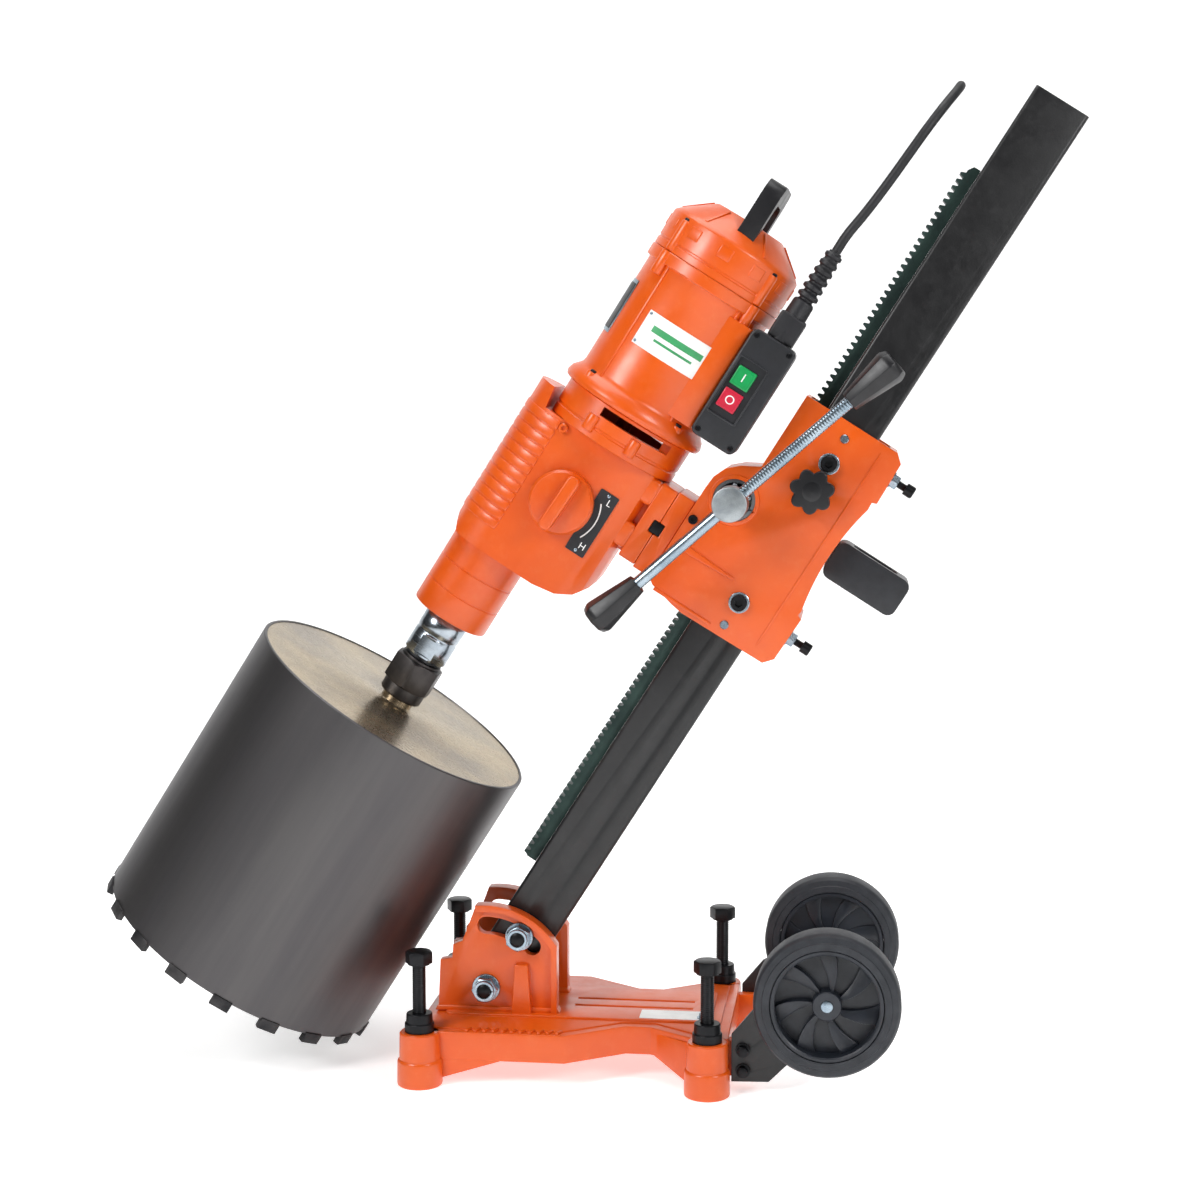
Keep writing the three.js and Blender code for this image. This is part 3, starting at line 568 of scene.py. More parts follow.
# ---------- base ----------
pivotOnBase = baseFrame.inverted() @ Vector(jointOf["column_tilt"]["pos_m"])
px, pz = pivotOnBase.x, pivotOnBase.z
base = {"screwX": 151, "screwY": 114, "deck": 57, "skirt": 27, "plateInner": 33, "plateOuter": 45,
        "arcRadius": 91, "clampRadius": 68, "slotHalf": 9.5, "lip": 6}
screwPlaces = {"front_left": (-1, -1), "front_right": (1, -1), "back_left": (-1, 1), "back_right": (1, 1)}


def deckOutline(inset):
    wide = base["screwY"] - inset
    half = [(-158 + inset, 60), (-151 + inset, wide), (2 - inset * 0.4, wide), (62 - inset * 0.4, 72 - inset),
            (88 + inset * 0.4, 72 - inset), (136 + inset * 0.4, wide - 8), (172 - inset, wide - 12)]
    return [(x, -y) for x, y in half] + [(x, y) for x, y in reversed(half)]


def tiltPlate(side):
    deck, reach, mid, wide = base["deck"], base["arcRadius"], base["clampRadius"], base["slotHalf"]
    y = sorted((side * base["plateInner"], side * base["plateOuter"]))
    lipY = sorted((side * (base["plateInner"] + 0.6), side * (base["plateOuter"] + base["lip"])))
    outline = ([(px - 53, deck - 4), (px + 76.4, deck - 4), (px + 76.4, pz + 48)] + arc(px, pz, reach - 0.6, 32, 97, 40)
               + [(px - 18, pz + 71), (px - 26, pz + 50), (px - 36, pz + 46), (px - 37, pz + 31), (px - 50, pz + 29)])
    rim = ([(px + 71, deck - 4), (px + 77, deck - 4), (px + 77, pz + 48)] + arc(px, pz, reach, 32, 97, 40)
           + arc(px, pz, reach - 7, 97, 32, 40) + [(px + 71, pz + 45)])
    endX, endZ = px + mid * math.sin(math.radians(47)), pz + mid * math.cos(math.radians(47))
    slot = (arc(px, pz, mid + wide, 43, 90, 32)[:-1] + arc(px, pz + mid, wide, 90, 270, 16)[:-1]
            + arc(px, pz, mid - wide, 90, 43, 32)[:-1] + arc(endX, endZ, wide, 223, 403, 16)[:-1])
    plate = push(outline, *y)
    carve(plate, push(slot, -70, 70))
    carve(plate, bar(8.3, (px, -70, pz), (px, 70, pz), 40))
    gusset = push([(px + 28, deck - 3), (px + 50, deck - 3), (px + 46, pz + 28), (px + 32, pz + 28)],
                  *sorted((side * (base["plateOuter"] - 1), side * (base["plateOuter"] + 9))))
    lip = push(rim, *lipY)
    for piece in (plate, gusset, lip):
        soften(piece, 1.0, 3)
    fillet = push([(px - 56, deck + 3), (px + 80, deck + 3), (px + 77, deck + 9), (px - 53, deck + 9)],
                  *sorted((side * (base["plateInner"] - 2), side * (base["plateOuter"] + 3))))
    return [plate, gusset, lip, soften(fillet, 1.6, 3)]


def baseCasting():
    deck = push(deckOutline(0), base["skirt"], base["deck"], "z")
    carve(deck, push(deckOutline(8), base["skirt"] - 2, base["deck"] - 8, "z"))
    step = soften(push(deckOutline(11), base["deck"] - 2, base["deck"] + 1.6, "z"), 0.8)
    raised = push(roundRect(-135, 150, -58, 58, 6), base["deck"] - 1, base["deck"] + 4, "z")
    for side in (-1, 1):
        carve(raised, block((0, side * 13 - 3, base["deck"]), (128, side * 13 + 3, base["deck"] + 9)))
    parts = [soften(deck, 1.4, 3), step, soften(raised, 1.0, 3)]
    parts += tiltPlate(-1) + tiltPlate(1)
    for x0, x1, y in ((-150, 160, 5), (-60, -52, 108), (118, 126, 84)):
        parts.append(block((x0, -y, 36), (x1, y, base["deck"] - 4)))
    for sideX, sideY in screwPlaces.values():
        x, y = sideX * base["screwX"], sideY * base["screwY"]
        boss = turn([(7.5, 0), (22.3, 0), (23.6, 1), (24, 3), (23.6, 25.5), (23.2, 27), (21.6, 28.4), (21, 55.5),
                     (19.8, base["deck"]), (7.5, base["deck"])], 72)
        parts.append(moved(boss, Matrix.Translation((x, y, 0))))
        near, far = x - sideX * 10, 88 if sideX > 0 else x + 92
        web = push([(near, 3), (far, base["skirt"] + 2), (far, base["deck"] - 5), (near, base["deck"] - 5)],
                   *sorted((y - sideY * 0.6, y - sideY * 9)))
        # a rear web runs in from its boss to the waist of the deck
        for vertex in web.data.vertices:
            if sideX > 0 and abs(vertex.co.x - far) < 1:
                vertex.co.y -= sideY * (base["screwY"] - 72)
        parts.append(soften(web, 1.0))
        lug = soften(block(*zip(*[sorted(pair) for pair in ((160, 200), (sideY * 78, sideY * 91), (14, 52))])), 1.2)
        if sideX > 0:
            parts.append(lug)
        else:
            bpy.data.objects.remove(lug)
    return joinAll(parts)


fit(baseCasting(), "baseCasting", baseFrame, "orange", "base", ["base_casting"], smooth=35)

tick = {"count": 11, "first": -104, "pitch": 9.6, "long": 9, "wide": 3}
ticks = []
for i in range(tick["count"]):
    x = tick["first"] + i * tick["pitch"]
    lean = 4
    ticks.append(soften(push([(x, -111), (x + tick["wide"], -111), (x + tick["wide"] + lean, -111 + tick["long"]),
                              (x + lean, -111 + tick["long"])], base["deck"] - 0.5, base["deck"] + 2.6, "z"), 0.5))
fit(joinAll(ticks), "deckTicks", baseFrame, "orange", "base")
sticker = push(roundRect(74, 138, -54, -24, 1.5), base["deck"] + 4, base["deck"] + 4.4, "z")
fit(sticker, "deckLabel", baseFrame, "white", "base")
smallBolt = moved(joinAll([hexHead(10, 0, 5), turn([(0, -0.6), (8, -0.6), (8, 0.8), (0, 0.8)], 32)]),
                  Matrix.Translation((143, -46, base["deck"] + 4.6)))
fit(smallBolt, "deckBolt", baseFrame, "zinc", "base")

for place, (sideX, sideY) in screwPlaces.items():
    at = Matrix.Translation((sideX * base["screwX"], sideY * base["screwY"], 0))
    screw = joinAll([
        threaded(7.2, 9, 129, 2.2, 0.6),
        turn([(0, 3), (4.5, 3), (6.6, 6.5), (6.6, 9.2), (0, 9.2)], 28),
        hexHead(25, 130, 143),
        turn([(0, 128.6), (11.6, 128.6), (11.6, 130.2), (0, 130.2)], 40),
    ])
    fit(moved(screw, at), "levellingScrew_" + place, baseFrame, "blackSteel", "levelling_" + place,
        ["levelling_screw_" + place], 0.35)
    collar = turn([(7.5, 57.3), (15.5, 57.3), (15.5, 66), (14.9, 66.8), (14, 67), (13.6, 76), (12.8, 77), (7.5, 77)], 56)
    fit(moved(collar, at), "levellingNut_" + place, baseFrame, "blackSteel", bodyOf["levelling_nut_" + place],
        ["levelling_nut_" + place])
print("base")


# ---------- pivot and clamp bolts ----------
def clampStack(workFrame, at, reach, name, nodes, body):
    nut = hexHead(24, -reach - 14, -reach - 3, 0, False, True)
    ring = turn([(8.2, -reach - 17), (10.4, -reach - 17), (10.9, -reach - 15.5), (10.9, -reach - 13.5), (8.2, -reach - 13.5)], 40)
    washer = turn([(8.3, -reach - 3), (14.6, -reach - 3), (15, -reach - 2.6), (15, -reach), (8.3, -reach)], 48)
    fit(alongY(joinAll([nut, ring, washer]), *at), name + "Nut", workFrame, "zinc", body, [nodes + "_nut"])
    shank = turn([(0, -reach - 18), (5.6, -reach - 17.6), (7.4, -reach - 16.4), (7.9, -reach - 14), (7.9, reach + 1),
                  (0, reach + 1)], 40)
    head = hexHead(24, reach, reach + 11)
    fit(alongY(joinAll([shank, head]), *at), name + "Bolt", workFrame, "blackSteel", body, [nodes + "_bolt"])


clampStack(baseFrame, (px, pz), base["plateOuter"] + 0.3, "pivot", "pivot", "base")
clampStack(columnFrame, (0, base["clampRadius"]), base["plateOuter"] + 1, "clamp", "clamp", "column")


# ---------- wheels ----------
wheel = {"x": axleToBase * 1000, "z": jointOf["wheel_front_roll"]["pos_m"][2] * 1000, "inner": 104, "width": 40,
         "radius": 75, "spokes": 7}
tyreProfile = [(58.3, 1.2), (59.5, 0.2), (65.6, 0.2), (66.4, 1.4), (72, 2.6), (74.2, 5), (75, 8.5)]
tyreProfile += [(r, wheel["width"] - h) for r, h in reversed(tyreProfile)]


# A wheel about Z from its inner face at 0; one twisted blade is repeated round the hub.
def wheelRim():
    width = wheel["width"]
    parts = [
        turn([(53.2, 2.6), (54, 2), (57, 2), (58, 3), (58, 37), (57.2, 38.2), (54.6, 38.2), (53.2, 37)], 96),
        turn([(14, 14), (54, 14), (54, 18.5), (14, 20)], 72),
        turn([(6.3, 0), (14, 0), (15, 1), (15, 35), (14.2, 36), (6.3, 36)], 48),
    ]
    count = wheel["spokes"]
    for i in range(count):
        start = 360 * (i + 0.3) / count
        leading = [(13 + 41 * j / 8, start + 15 * (j / 8) ** 1.4) for j in range(9)]
        trailing = [(13 + 41 * j / 8, start + 13 + 23 * (j / 8) ** 0.8) for j in range(8, -1, -1)]
        points = [(r * math.cos(math.radians(a)), r * math.sin(math.radians(a))) for r, a in leading + trailing]
        blade = push(points, 12, width - 9, "z")
        # the blade's back edge lies lower than its front edge
        for vertex in blade.data.vertices:
            if vertex.co.z > 20:
                around = (math.degrees(math.atan2(vertex.co.y, vertex.co.x)) - start) % 360
                vertex.co.z -= 9 * min(around, 36) / 36
        parts.append(soften(blade, 0.8))
    return joinAll(parts)


rimMaster = wheelRim()
tyreMaster = turn(tyreProfile, 128)
for name, side in (("front", -1), ("back", 1)):
    facing = Matrix.Rotation(math.radians(90 if side < 0 else -90), 4, "X")
    stand = Matrix.Translation((wheel["x"], side * wheel["inner"], wheel["z"])) @ facing
    body = "wheel_" + name
    fit(copyOf(rimMaster, stand), "wheelRim_" + name, baseFrame, "wheel", body, ["wheel_rim_" + name])
    fit(copyOf(tyreMaster, stand), "wheelTyre_" + name, baseFrame, "tyre", body, ["wheel_tyre_" + name])
for master in (rimMaster, tyreMaster):
    bpy.data.objects.remove(master)

for name, side in (("front", -1), ("back", 1)):
    for z in (22, 44):
        head = alongY(joinAll([hexHead(10, 0, 6, 0, True), turn([(0, -1.4), (7.5, -1.4), (7.5, 0.1), (0, 0.1)], 32)]), 0, 0)
        if side < 0:
            head = moved(head, Matrix.Rotation(math.pi, 4, "Z"))
        fit(moved(head, Matrix.Translation((187, side * 98.4, z))), "bracketBolt_%s_%d" % (name, z), baseFrame,
            "blackSteel", "base")
print("wheels")


# ---------- column ----------
column = {"middle": 2, "half": 31, "top": 1100, "wall": 4, "ear": 23}


def columnTube():
    half, wall, middle, ear = column["half"], column["wall"], column["middle"], column["ear"]
    left, right = middle - half, middle + half
    tube = push(roundRect(left, right, -half, half, 4), -30, column["top"], "z")
    side = ([(left - 1, column["top"] + 1), (left - 1, 6), (-ear, 2)] + arc(0, 0, ear, 180, 360, 24)[1:-1]
            + [(ear, 2), (right + 1, 6), (right + 1, column["top"] + 1)])
    carve(tube, push(side, -50, 50), "INTERSECT")
    carve(tube, block((left + wall, wall - half, -40), (right - wall, half - wall, column["top"] + 10)))
    carve(tube, bar(8.3, (0, -60, 0), (0, 60, 0), 40))
    carve(tube, bar(8.3, (0, -60, base["clampRadius"]), (0, 60, base["clampRadius"]), 40))
    return tube


fit(columnTube(), "columnTube", columnFrame, "column", "column", ["column_tube"], 0.35)
capOutline = roundRect(column["middle"] - 26.6, column["middle"] + 26.6, -26.6, 26.6, 3)
fit(push(capOutline, column["top"] - 9, column["top"] - 1, "z"), "columnCap", columnFrame, "plastic", "column", bevel=0.8)
fit(tidyCopy("gear_rack", columnFrame), "gearRack", columnFrame, "rack", "column", ["gear_rack"], 0.3)
print("column")


# ---------- carriage ----------
pinU, pinS = onColumn("crank_turn")
knobU, knobS = onColumn("lock_knob_turn")
carriage = {"half": 45, "bottom": 456, "top": 716, "cheek": 34.5}
carriageOutline = (
    [(-42, carriage["bottom"]), (57, 458), (65.5, 468), (66.5, 518), (61, 520)] + arc(335, 588, 280, 193, 167, 24)
    + [(61.5, 659), (66.5, 661), (65, 708), (56, carriage["top"]), (-54, carriage["top"]), (-54, 629), (-72, 619),
       (-84, 608), (-90, 594), (-91, 580), (-91, 470), (-83, 464.5), (-55, 458)]
)


def carriageHousing():
    half, cheek = carriage["half"], carriage["cheek"]
    body = push(carriageOutline, -half, half)
    carve(body, block((-49.5, -cheek, 400), (47, cheek, 800)))
    carve(body, block((-80, -cheek, 474), (-49, cheek, 604)))
    carve(body, bar(22.3, (pinU, -90, pinS), (pinU, -20, pinS), 72))
    carve(body, bar(22.3, (pinU, 20, pinS), (pinU, half - 1.7, pinS), 72))
    carve(body, bar(6.3, (knobU, -60, knobS), (knobU, -20, knobS), 32))
    for s in (688, 490):
        carve(body, bar(4.3, (40, 0, s), (80, 0, s), 24))
    soften(body, 1.6, 3, 40)
    rim = soften(alongY(turn([(22.3, -half - 1.6), (26, -half - 1.6), (27.5, -half + 1), (22.3, -half + 1)], 72), pinU, pinS), 0.4)
    boss = alongY(turn([(0, half - 1), (26, half - 1), (26, half + 1), (25, half + 2), (0, half + 2)], 72), pinU, pinS)
    rib = soften(push([(-80, 511), (-14, 514), (-14, 516.4), (-80, 519.5)], -half - 2.6, 1 - half), 1.1, 3)
    lower = soften(block((-80, -half - 1.4, 460.5), (-10, 1 - half, 464)), 0.6)
    panel = soften(push([(41, 470), (43, 470), (43, 706), (41, 706)], -half - 0.9, 1 - half), 0.4)
    return joinAll([body, rim, boss, rib, lower, panel])


fit(carriageHousing(), "carriageHousing", columnFrame, "orange", "carriage", ["carriage_housing"])
for place, s in (("upper", 669), ("lower", 498)):
    u = 3
    washer = turn([(8.6, -0.2), (11, -0.2), (11, 1.4), (10.4, 1.8), (8.6, 1.8)], 48)
    face = Matrix.Translation((u, -carriage["half"], s)) @ Matrix.Rotation(math.radians(90), 4, "X")
    fit(moved(washer, face), "cheekWasher_" + place, columnFrame, "zinc", "carriage")
    fit(moved(capScrew(8.5, 8.5, 8), face), "cheekScrew_" + place, columnFrame, "blackSteel", "carriage")
for place, u, s in (("upper", 2.5, 699), ("lower", 2.5, 470)):
    face = Matrix.Translation((u, -carriage["half"], s)) @ Matrix.Rotation(math.radians(90), 4, "X")
    fit(moved(capScrew(4.6, 2.0, 3.6), face), "gibScrew_" + place, columnFrame, "zinc", "carriage")
for place, s in (("upper", 688), ("lower", 490)):
    name = "adjusting_screw_" + place
    shank = threaded(4, 46.3, 84, 1.4, 0.4, 24)
    head = joinAll([shank, moved(capScrew(6.6, 10, 6), Matrix.Translation((0, 0, 84)))])
    fit(alongX(head, 0, s), "adjustingScrew_" + place, columnFrame, "blackSteel", bodyOf[name], [name])
    nut = joinAll([hexHead(14, 68.2, 75, 30, True), turn([(4.2, 66.6), (9, 66.6), (9, 68.2), (4.2, 68.2)], 32)])
    fit(alongX(nut, 0, s), "adjustingNut_" + place, columnFrame, "zinc", "carriage")

bearing = [
    turn([(18.6, -44), (22, -44), (22, -34.8), (18.6, -34.8)], 72),
    turn([(9.3, -44), (13, -44), (13, -34.8), (9.3, -34.8)], 56),
]
for i in range(9):
    angle = 2 * math.pi * i / 9
    clearSelection()
    bpy.ops.mesh.primitive_uv_sphere_add(segments=20, ring_count=12, radius=3.3,
                                         location=(15.8 * math.cos(angle), 15.8 * math.sin(angle), -40))
    ball = bpy.context.object
    bpy.ops.object.transform_apply(location=True, rotation=True, scale=True)
    bearing.append(ball)
fit(alongY(joinAll(bearing), pinU, pinS), "pinionBearingFront", columnFrame, "gear", "carriage", ["pinion_bearing_front"])
grip = soften(tidyCopy("carriage_grip", columnFrame), 4, 4, 40)
fit(grip, "carriageGrip", columnFrame, "plastic", "carriage", ["carriage_grip"])
print("carriage")


# ---------- crank and lock knob ----------
crankLean = math.radians(16.7)
crank = {"y": -104, "low": -185, "high": 217, "radius": 6.5}
crankFrame = columnFrame @ Matrix.Translation((pinU, crank["y"], pinS)) @ Matrix.Rotation(crankLean, 4, "Y")
hub = turn([(7.3, 40), (7.3, 9), (0, 9), (0, -17), (16.4, -17), (17.6, -16.4), (18, -15), (18, 14.6), (17, 16), (13.2, 16.4),
            (13, 38), (12, 40)], 72)
fit(alongY(hub, 0, 0), "crankHub", crankFrame, "cast", "crank", ["crank_hub"])
low, high, radius = crank["low"], crank["high"], crank["radius"]
plain = turn([(0, low + 5), (radius, low + 5), (radius, 12), (0, 12)], 48)
upper = threaded(radius, 12, high - 5, 3.2, 0.45, 40)
fit(joinAll([plain, upper]), "crankBar", crankFrame, "zinc", "crank", ["crank_bar"])
for name, end, towards in (("lower", low, 1), ("upper", high, -1)):
    profile = [(0, 0), (13.6, 0), (15.6, 1.4), (18, 7), (18, 10), (10.5, 60), (9.6, 60.6), (0, 60.6)]
    knob = turn([(r, end + towards * h) for r, h in profile], 8)
    fit(knob, "crankGrip_" + name, crankFrame, "grip", "crank", ["crank_grip_" + name], 1.0, 30)

knobTop = carriage["half"] + 26


def starOutline(lobes, tip, valley):
    points = []
    steps = lobes * 16
    for i in range(steps):
        a = 2 * math.pi * i / steps
        wave = 0.5 + 0.5 * math.cos(lobes * a)
        r = valley + (tip - valley) * wave ** 0.5
        points.append((r * math.sin(a), r * math.cos(a)))
    return points


star = soften(push(starOutline(7, 23.5, 18), -knobTop, -knobTop + 16), 3.6, 5, 50)
collar = bar(11, (0, -knobTop + 15, 0), (0, -46.3, 0), 40)
stem = bar(6, (0, -knobTop + 10, 0), (0, -31.3, 0), 32)
dishLine = [(0, -0.9), (6, -0.7), (10, 0), (13.6, 1.4), (13.6, 2.6), (0, 2.6)]
dish = alongY(turn([(r, h - knobTop) for r, h in dishLine], 48), 0, 0)
knobPlace = columnFrame @ Matrix.Translation((knobU, 0, knobS))
fit(joinAll([star, collar, stem, dish]), "lockKnob", knobPlace, "grip", "lock_knob", ["lock_knob"])
print("crank and knob")


# ---------- gearbox ----------
drillU = onColumn("spindle_spin")[0]
motorU = onColumn("armature_spin")[0]
dialU, dialS = onColumn("gear_selector_turn")
box = {"half": 52, "left": 50, "grooves": 12, "grooveFirst": 424, "groovePitch": 11.2}


def gearboxHousing():
    half = box["half"]
    outline = (arc(drillU, 0, box["left"], 90, 270, 48)
               + [(-215, -half), (-158, -half), (-142, -44), (-136, -30), (-136, 30), (-142, 44), (-158, half), (-215, half)])
    profile = [(-302, 583), (-302, 418), (-290, 397), (-190, 397), (-165, 401), (-148, 410), (-138, 424), (-135, 440),
               (-135, 560), (-276.5, 560), (-280, 583)]
    body = push(outline, 390, 590, "z")
    carve(body, push(profile, -70, 70), "INTERSECT")
    inside = arc(drillU, 0, 43, 90, 270, 24) + [(-215, -45), (-160, -45), (-146, -36), (-143, 36), (-160, 45), (-215, 45)]
    carve(body, push(inside, 410, 552, "z"))
    carve(body, moved(bar(26, (0, 0, 380), (0, 0, 420), 48), Matrix.Translation((drillU, 0, 0))))
    carve(body, moved(bar(22, (0, 0, 540), (0, 0, 600), 48), Matrix.Translation((motorU, 0, 0))))
    carve(body, bar(6.3, (dialU, -90, dialS), (dialU, -40, dialS), 32))
    soften(body, 2.0, 4, 38)
    parts = [body]
    for i in range(box["grooves"]):
        s = box["grooveFirst"] + i * box["groovePitch"]
        outer = arc(drillU, 0, box["left"] + 1.1, 93, 267, 48)
        band = push(outer + arc(drillU, 0, box["left"] - 2, 267, 93, 48), s, s + 9.4, "z")
        parts.append(soften(band, 1.0, 3))
    plate = push(roundRect(-42, 42, 471, 560, 4), -130.5, -111.3, "x")
    carve(plate, block((-118, -90, 509), (-100, 90, 523)))
    parts.append(soften(plate, 1.5, 3))
    parts.append(soften(block((-140, -30, 475), (-129, 30, 556)), 1))
    for s in (545, 493):
        for side in (-1, 1):
            ends = sorted((side * 18, side * 44))
            parts.append(soften(block((-154, ends[0], s - 14), (-129, ends[1] + side * 1.5, s + 14)), 5, 4))
    post = turn([(0, 48), (15, 48), (15, 125), (16, 126), (20, 126), (21, 127), (21, 129), (20, 130), (0, 130)], 56)
    parts.append(alongY(post, -216, 536))
    return joinAll(parts)


fit(gearboxHousing(), "gearboxHousing", columnFrame, "orange", "carriage", ["gearbox_housing"])
nose = [(26, 311), (40.5, 311), (42.4, 311.8), (43, 313.5), (43, 339), (42.2, 339.6), (42.2, 340.6), (43, 341.2), (43, 367),
        (42.2, 367.6), (42.2, 368.6), (43, 369.2), (43, 396.7), (26, 396.7)]
drillFrame = columnFrame @ Matrix.Translation((drillU, 0, 0))
motorFrame = columnFrame @ Matrix.Translation((motorU, 0, 0))
fit(turn(nose, 96), "gearboxNose", drillFrame, "orange", "carriage", ["gearbox_nose"])

dial = turn([(0, -66), (29.6, -66), (31.4, -65.6), (34, -62.6), (34, -52.3), (0, -52.3)], 72)
ridge = soften(push(roundRect(-7, 7, -32, 32, 6, 8), -78, -65), 2.4, 4, 40)
dialShaft = bar(6, (0, -53, 0), (0, -38, 0), 32)
dialFrame = columnFrame @ Matrix.Translation((dialU, 0, dialS)) @ Matrix.Rotation(math.radians(2), 4, "Y")
fit(joinAll([alongY(dial, 0, 0), ridge, dialShaft]), "gearSelector", dialFrame, "orange", "gear_selector", ["gear_selector"])

scalePlate = {"left": -181, "right": -159, "low": 449, "high": 522, "face": -53.2}
plate = push(roundRect(scalePlate["left"], scalePlate["right"], scalePlate["low"], scalePlate["high"], 1.5),
             scalePlate["face"], -51.5)
fit(plate, "scalePlate", columnFrame, "plastic", "carriage")


def lettering(text, size, x, z, depth, name, finish, workFrame, body="carriage", turn=0):
    clearSelection()
    bpy.ops.object.text_add()
    letters = bpy.context.object
    letters.data.body = text
    letters.data.size = size
    letters.data.extrude = 0.15
    letters.data.align_x = "CENTER"
    letters.data.align_y = "CENTER"
    bpy.ops.object.convert(target="MESH")
    letters = bpy.context.object
    stand = Matrix.Translation((x, depth, z)) @ Matrix.Rotation(math.radians(turn), 4, "Y")
    moved(letters, stand @ Matrix.Rotation(math.radians(90), 4, "X"))
    return fit(letters, name, workFrame, finish, body)


mark = scalePlate["face"] - 0.2
lettering("L", 10, -166, 512, mark, "scaleLow", "white", columnFrame)
lettering("H", 10, -166, 459, mark, "scaleHigh", "white", columnFrame)
sweep = arc(dialU, dialS, 42, -30, 30, 20) + arc(dialU, dialS, 40.6, 30, -30, 20)
fit(push(sweep, mark - 0.1, mark + 0.1), "scaleArc", columnFrame, "white", "carriage")
fit(tidyCopy("mount_plate", columnFrame), "mountPlate", columnFrame, "orange", "carriage", ["mount_plate"], 1.2)
key = soften(block((-117.5, -40, 509.4), (-105, 40, 522.6)), 0.6)
fit(key, "mountKey", columnFrame, "blackSteel", "carriage")
for place, u, s, depth, finish in (("top", -248, 553, -51.4, "orange"), ("side", -84, 545, -44.6, "blackSteel")):
    face = Matrix.Translation((u, depth, s)) @ Matrix.Rotation(math.radians(90), 4, "X")
    fit(moved(capScrew(5, 4, 4.4), face), "mountScrew_" + place, columnFrame, finish, "carriage")
for i, (u, s) in enumerate(((-170, 518.5), (-170, 452.5))):
    face = Matrix.Translation((u, scalePlate["face"] + 0.4, s)) @ Matrix.Rotation(math.radians(90), 4, "X")
    rivet = turn([(0, -0.4), (1.8, -0.4), (1.7, 0.5), (1, 0.9), (0, 1)], 24)
    fit(moved(rivet, face), "scaleRivet_%d" % i, columnFrame, "zinc", "carriage")
print("gearbox")


# ---------- motor ----------
def onMotor(angle, radius):
    a = math.radians(angle)
    return radius * math.cos(a), radius * math.sin(a)


def motorHousing():
    shell = [(66, 600.2), (79, 600.2), (80.6, 601), (82, 604.4), (82, 606), (80, 612), (75, 617.6), (73, 620), (72, 624),
             (72, 749), (72.6, 750.4), (75.4, 751), (76, 752), (76, 763), (75.4, 764), (66, 764)]
    parts = [turn(shell, 128)]
    for angle in (45, 135, 225, 315):
        x, y = onMotor(angle, 73)
        parts.append(soften(bar(7, (x, y, 738), (x, y, 764), 32), 1))
        x, y = onMotor(angle, 74)
        parts.append(soften(bar(6, (x, y, 606), (x, y, 618), 32), 1))
    for angle in (126, 234, 306, 54):
        rib = push([(-2, 69), (2, 69), (1.4, 74), (-1.4, 74)], 619, 752, "z")
        parts.append(soften(moved(rib, Matrix.Rotation(math.radians(angle - 90), 4, "Z")), 0.8))
    seat = push(roundRect(25.5, 64.4, -62, -34, 4), 624, 742, "z")
    carve(seat, bar(66, (0, 0, 600), (0, 0, 780), 96))
    parts.append(soften(seat, 1))
    return joinAll(parts)


fit(motorHousing(), "motorHousing", motorFrame, "orange", "carriage", ["motor_housing"])
ring = turn([(62, 560.4), (73.2, 560.4), (74, 561.2), (74, 570), (73, 571), (73, 573), (74, 574), (74, 598.8), (73.2, 599.6),
             (62, 599.6)], 128)
for side in (-1, 1):
    ends = sorted((side * 40, side * 90))
    carve(ring, block((-21.5, ends[0], 586), (57.5, ends[1], 596)))
web = turn([(9, 560.4), (63, 560.4), (63, 566), (9, 566)], 96)
fit(joinAll([ring, web]), "gearboxCover", motorFrame, "orange", "carriage", ["gearbox_cover"])
for angle in (250, 290, 30, 150):
    x, y = onMotor(angle, 74)
    ear = soften(bar(6.4, (x, y, 566), (x, y, 584), 32), 1)
    fit(ear, "coverEar_%d" % angle, motorFrame, "orange", "carriage")


def motorCap():
    shell = [(60, 764.3), (74.4, 764.3), (75, 765), (75, 772), (74, 773), (74, 774.6), (75, 775.6), (75, 803), (74.4, 805), (70, 809.4),
             (41, 831.6), (39, 832.6), (0, 834), (0, 826), (37, 825), (64, 803), (68, 799), (68, 770), (60, 770)]
    parts = [turn(shell, 128)]
    for angle in (45, 135, 225, 315):
        x, y = onMotor(angle, 71)
        parts.append(soften(bar(7, (x, y, 765), (x, y, 800), 32), 2, 3))
    for angle in range(0, 360, 30):
        x, y = onMotor(angle, 72.6)
        pad = push(roundRect(-3, 3, -8, 8, 2), 786, 799, "z")
        turned = Matrix.Rotation(math.radians(angle), 4, "Z")
        parts.append(moved(soften(pad, 0.8), Matrix.Translation((x, y, 0)) @ turned))
        if angle % 60 == 0:
            fin = push([(42, 829.4), (69, 808.4), (70.6, 810.4), (43.6, 831.6)], -1.6, 1.6)
            parts.append(moved(soften(fin, 0.5), turned))
    return joinAll(parts)


fit(motorCap(), "motorCap", motorFrame, "orange", "carriage", ["motor_cap"])
for angle in (225, 315):
    x, y = onMotor(angle, 73)
    for name, low in (("cap", 799.6), ("flange", 617.8)):
        screw = moved(capScrew(4, 3, 3.6), Matrix.Translation((x, y, low)))
        fit(screw, "motorScrew_%s_%d" % (name, angle), motorFrame, "blackSteel", "carriage")

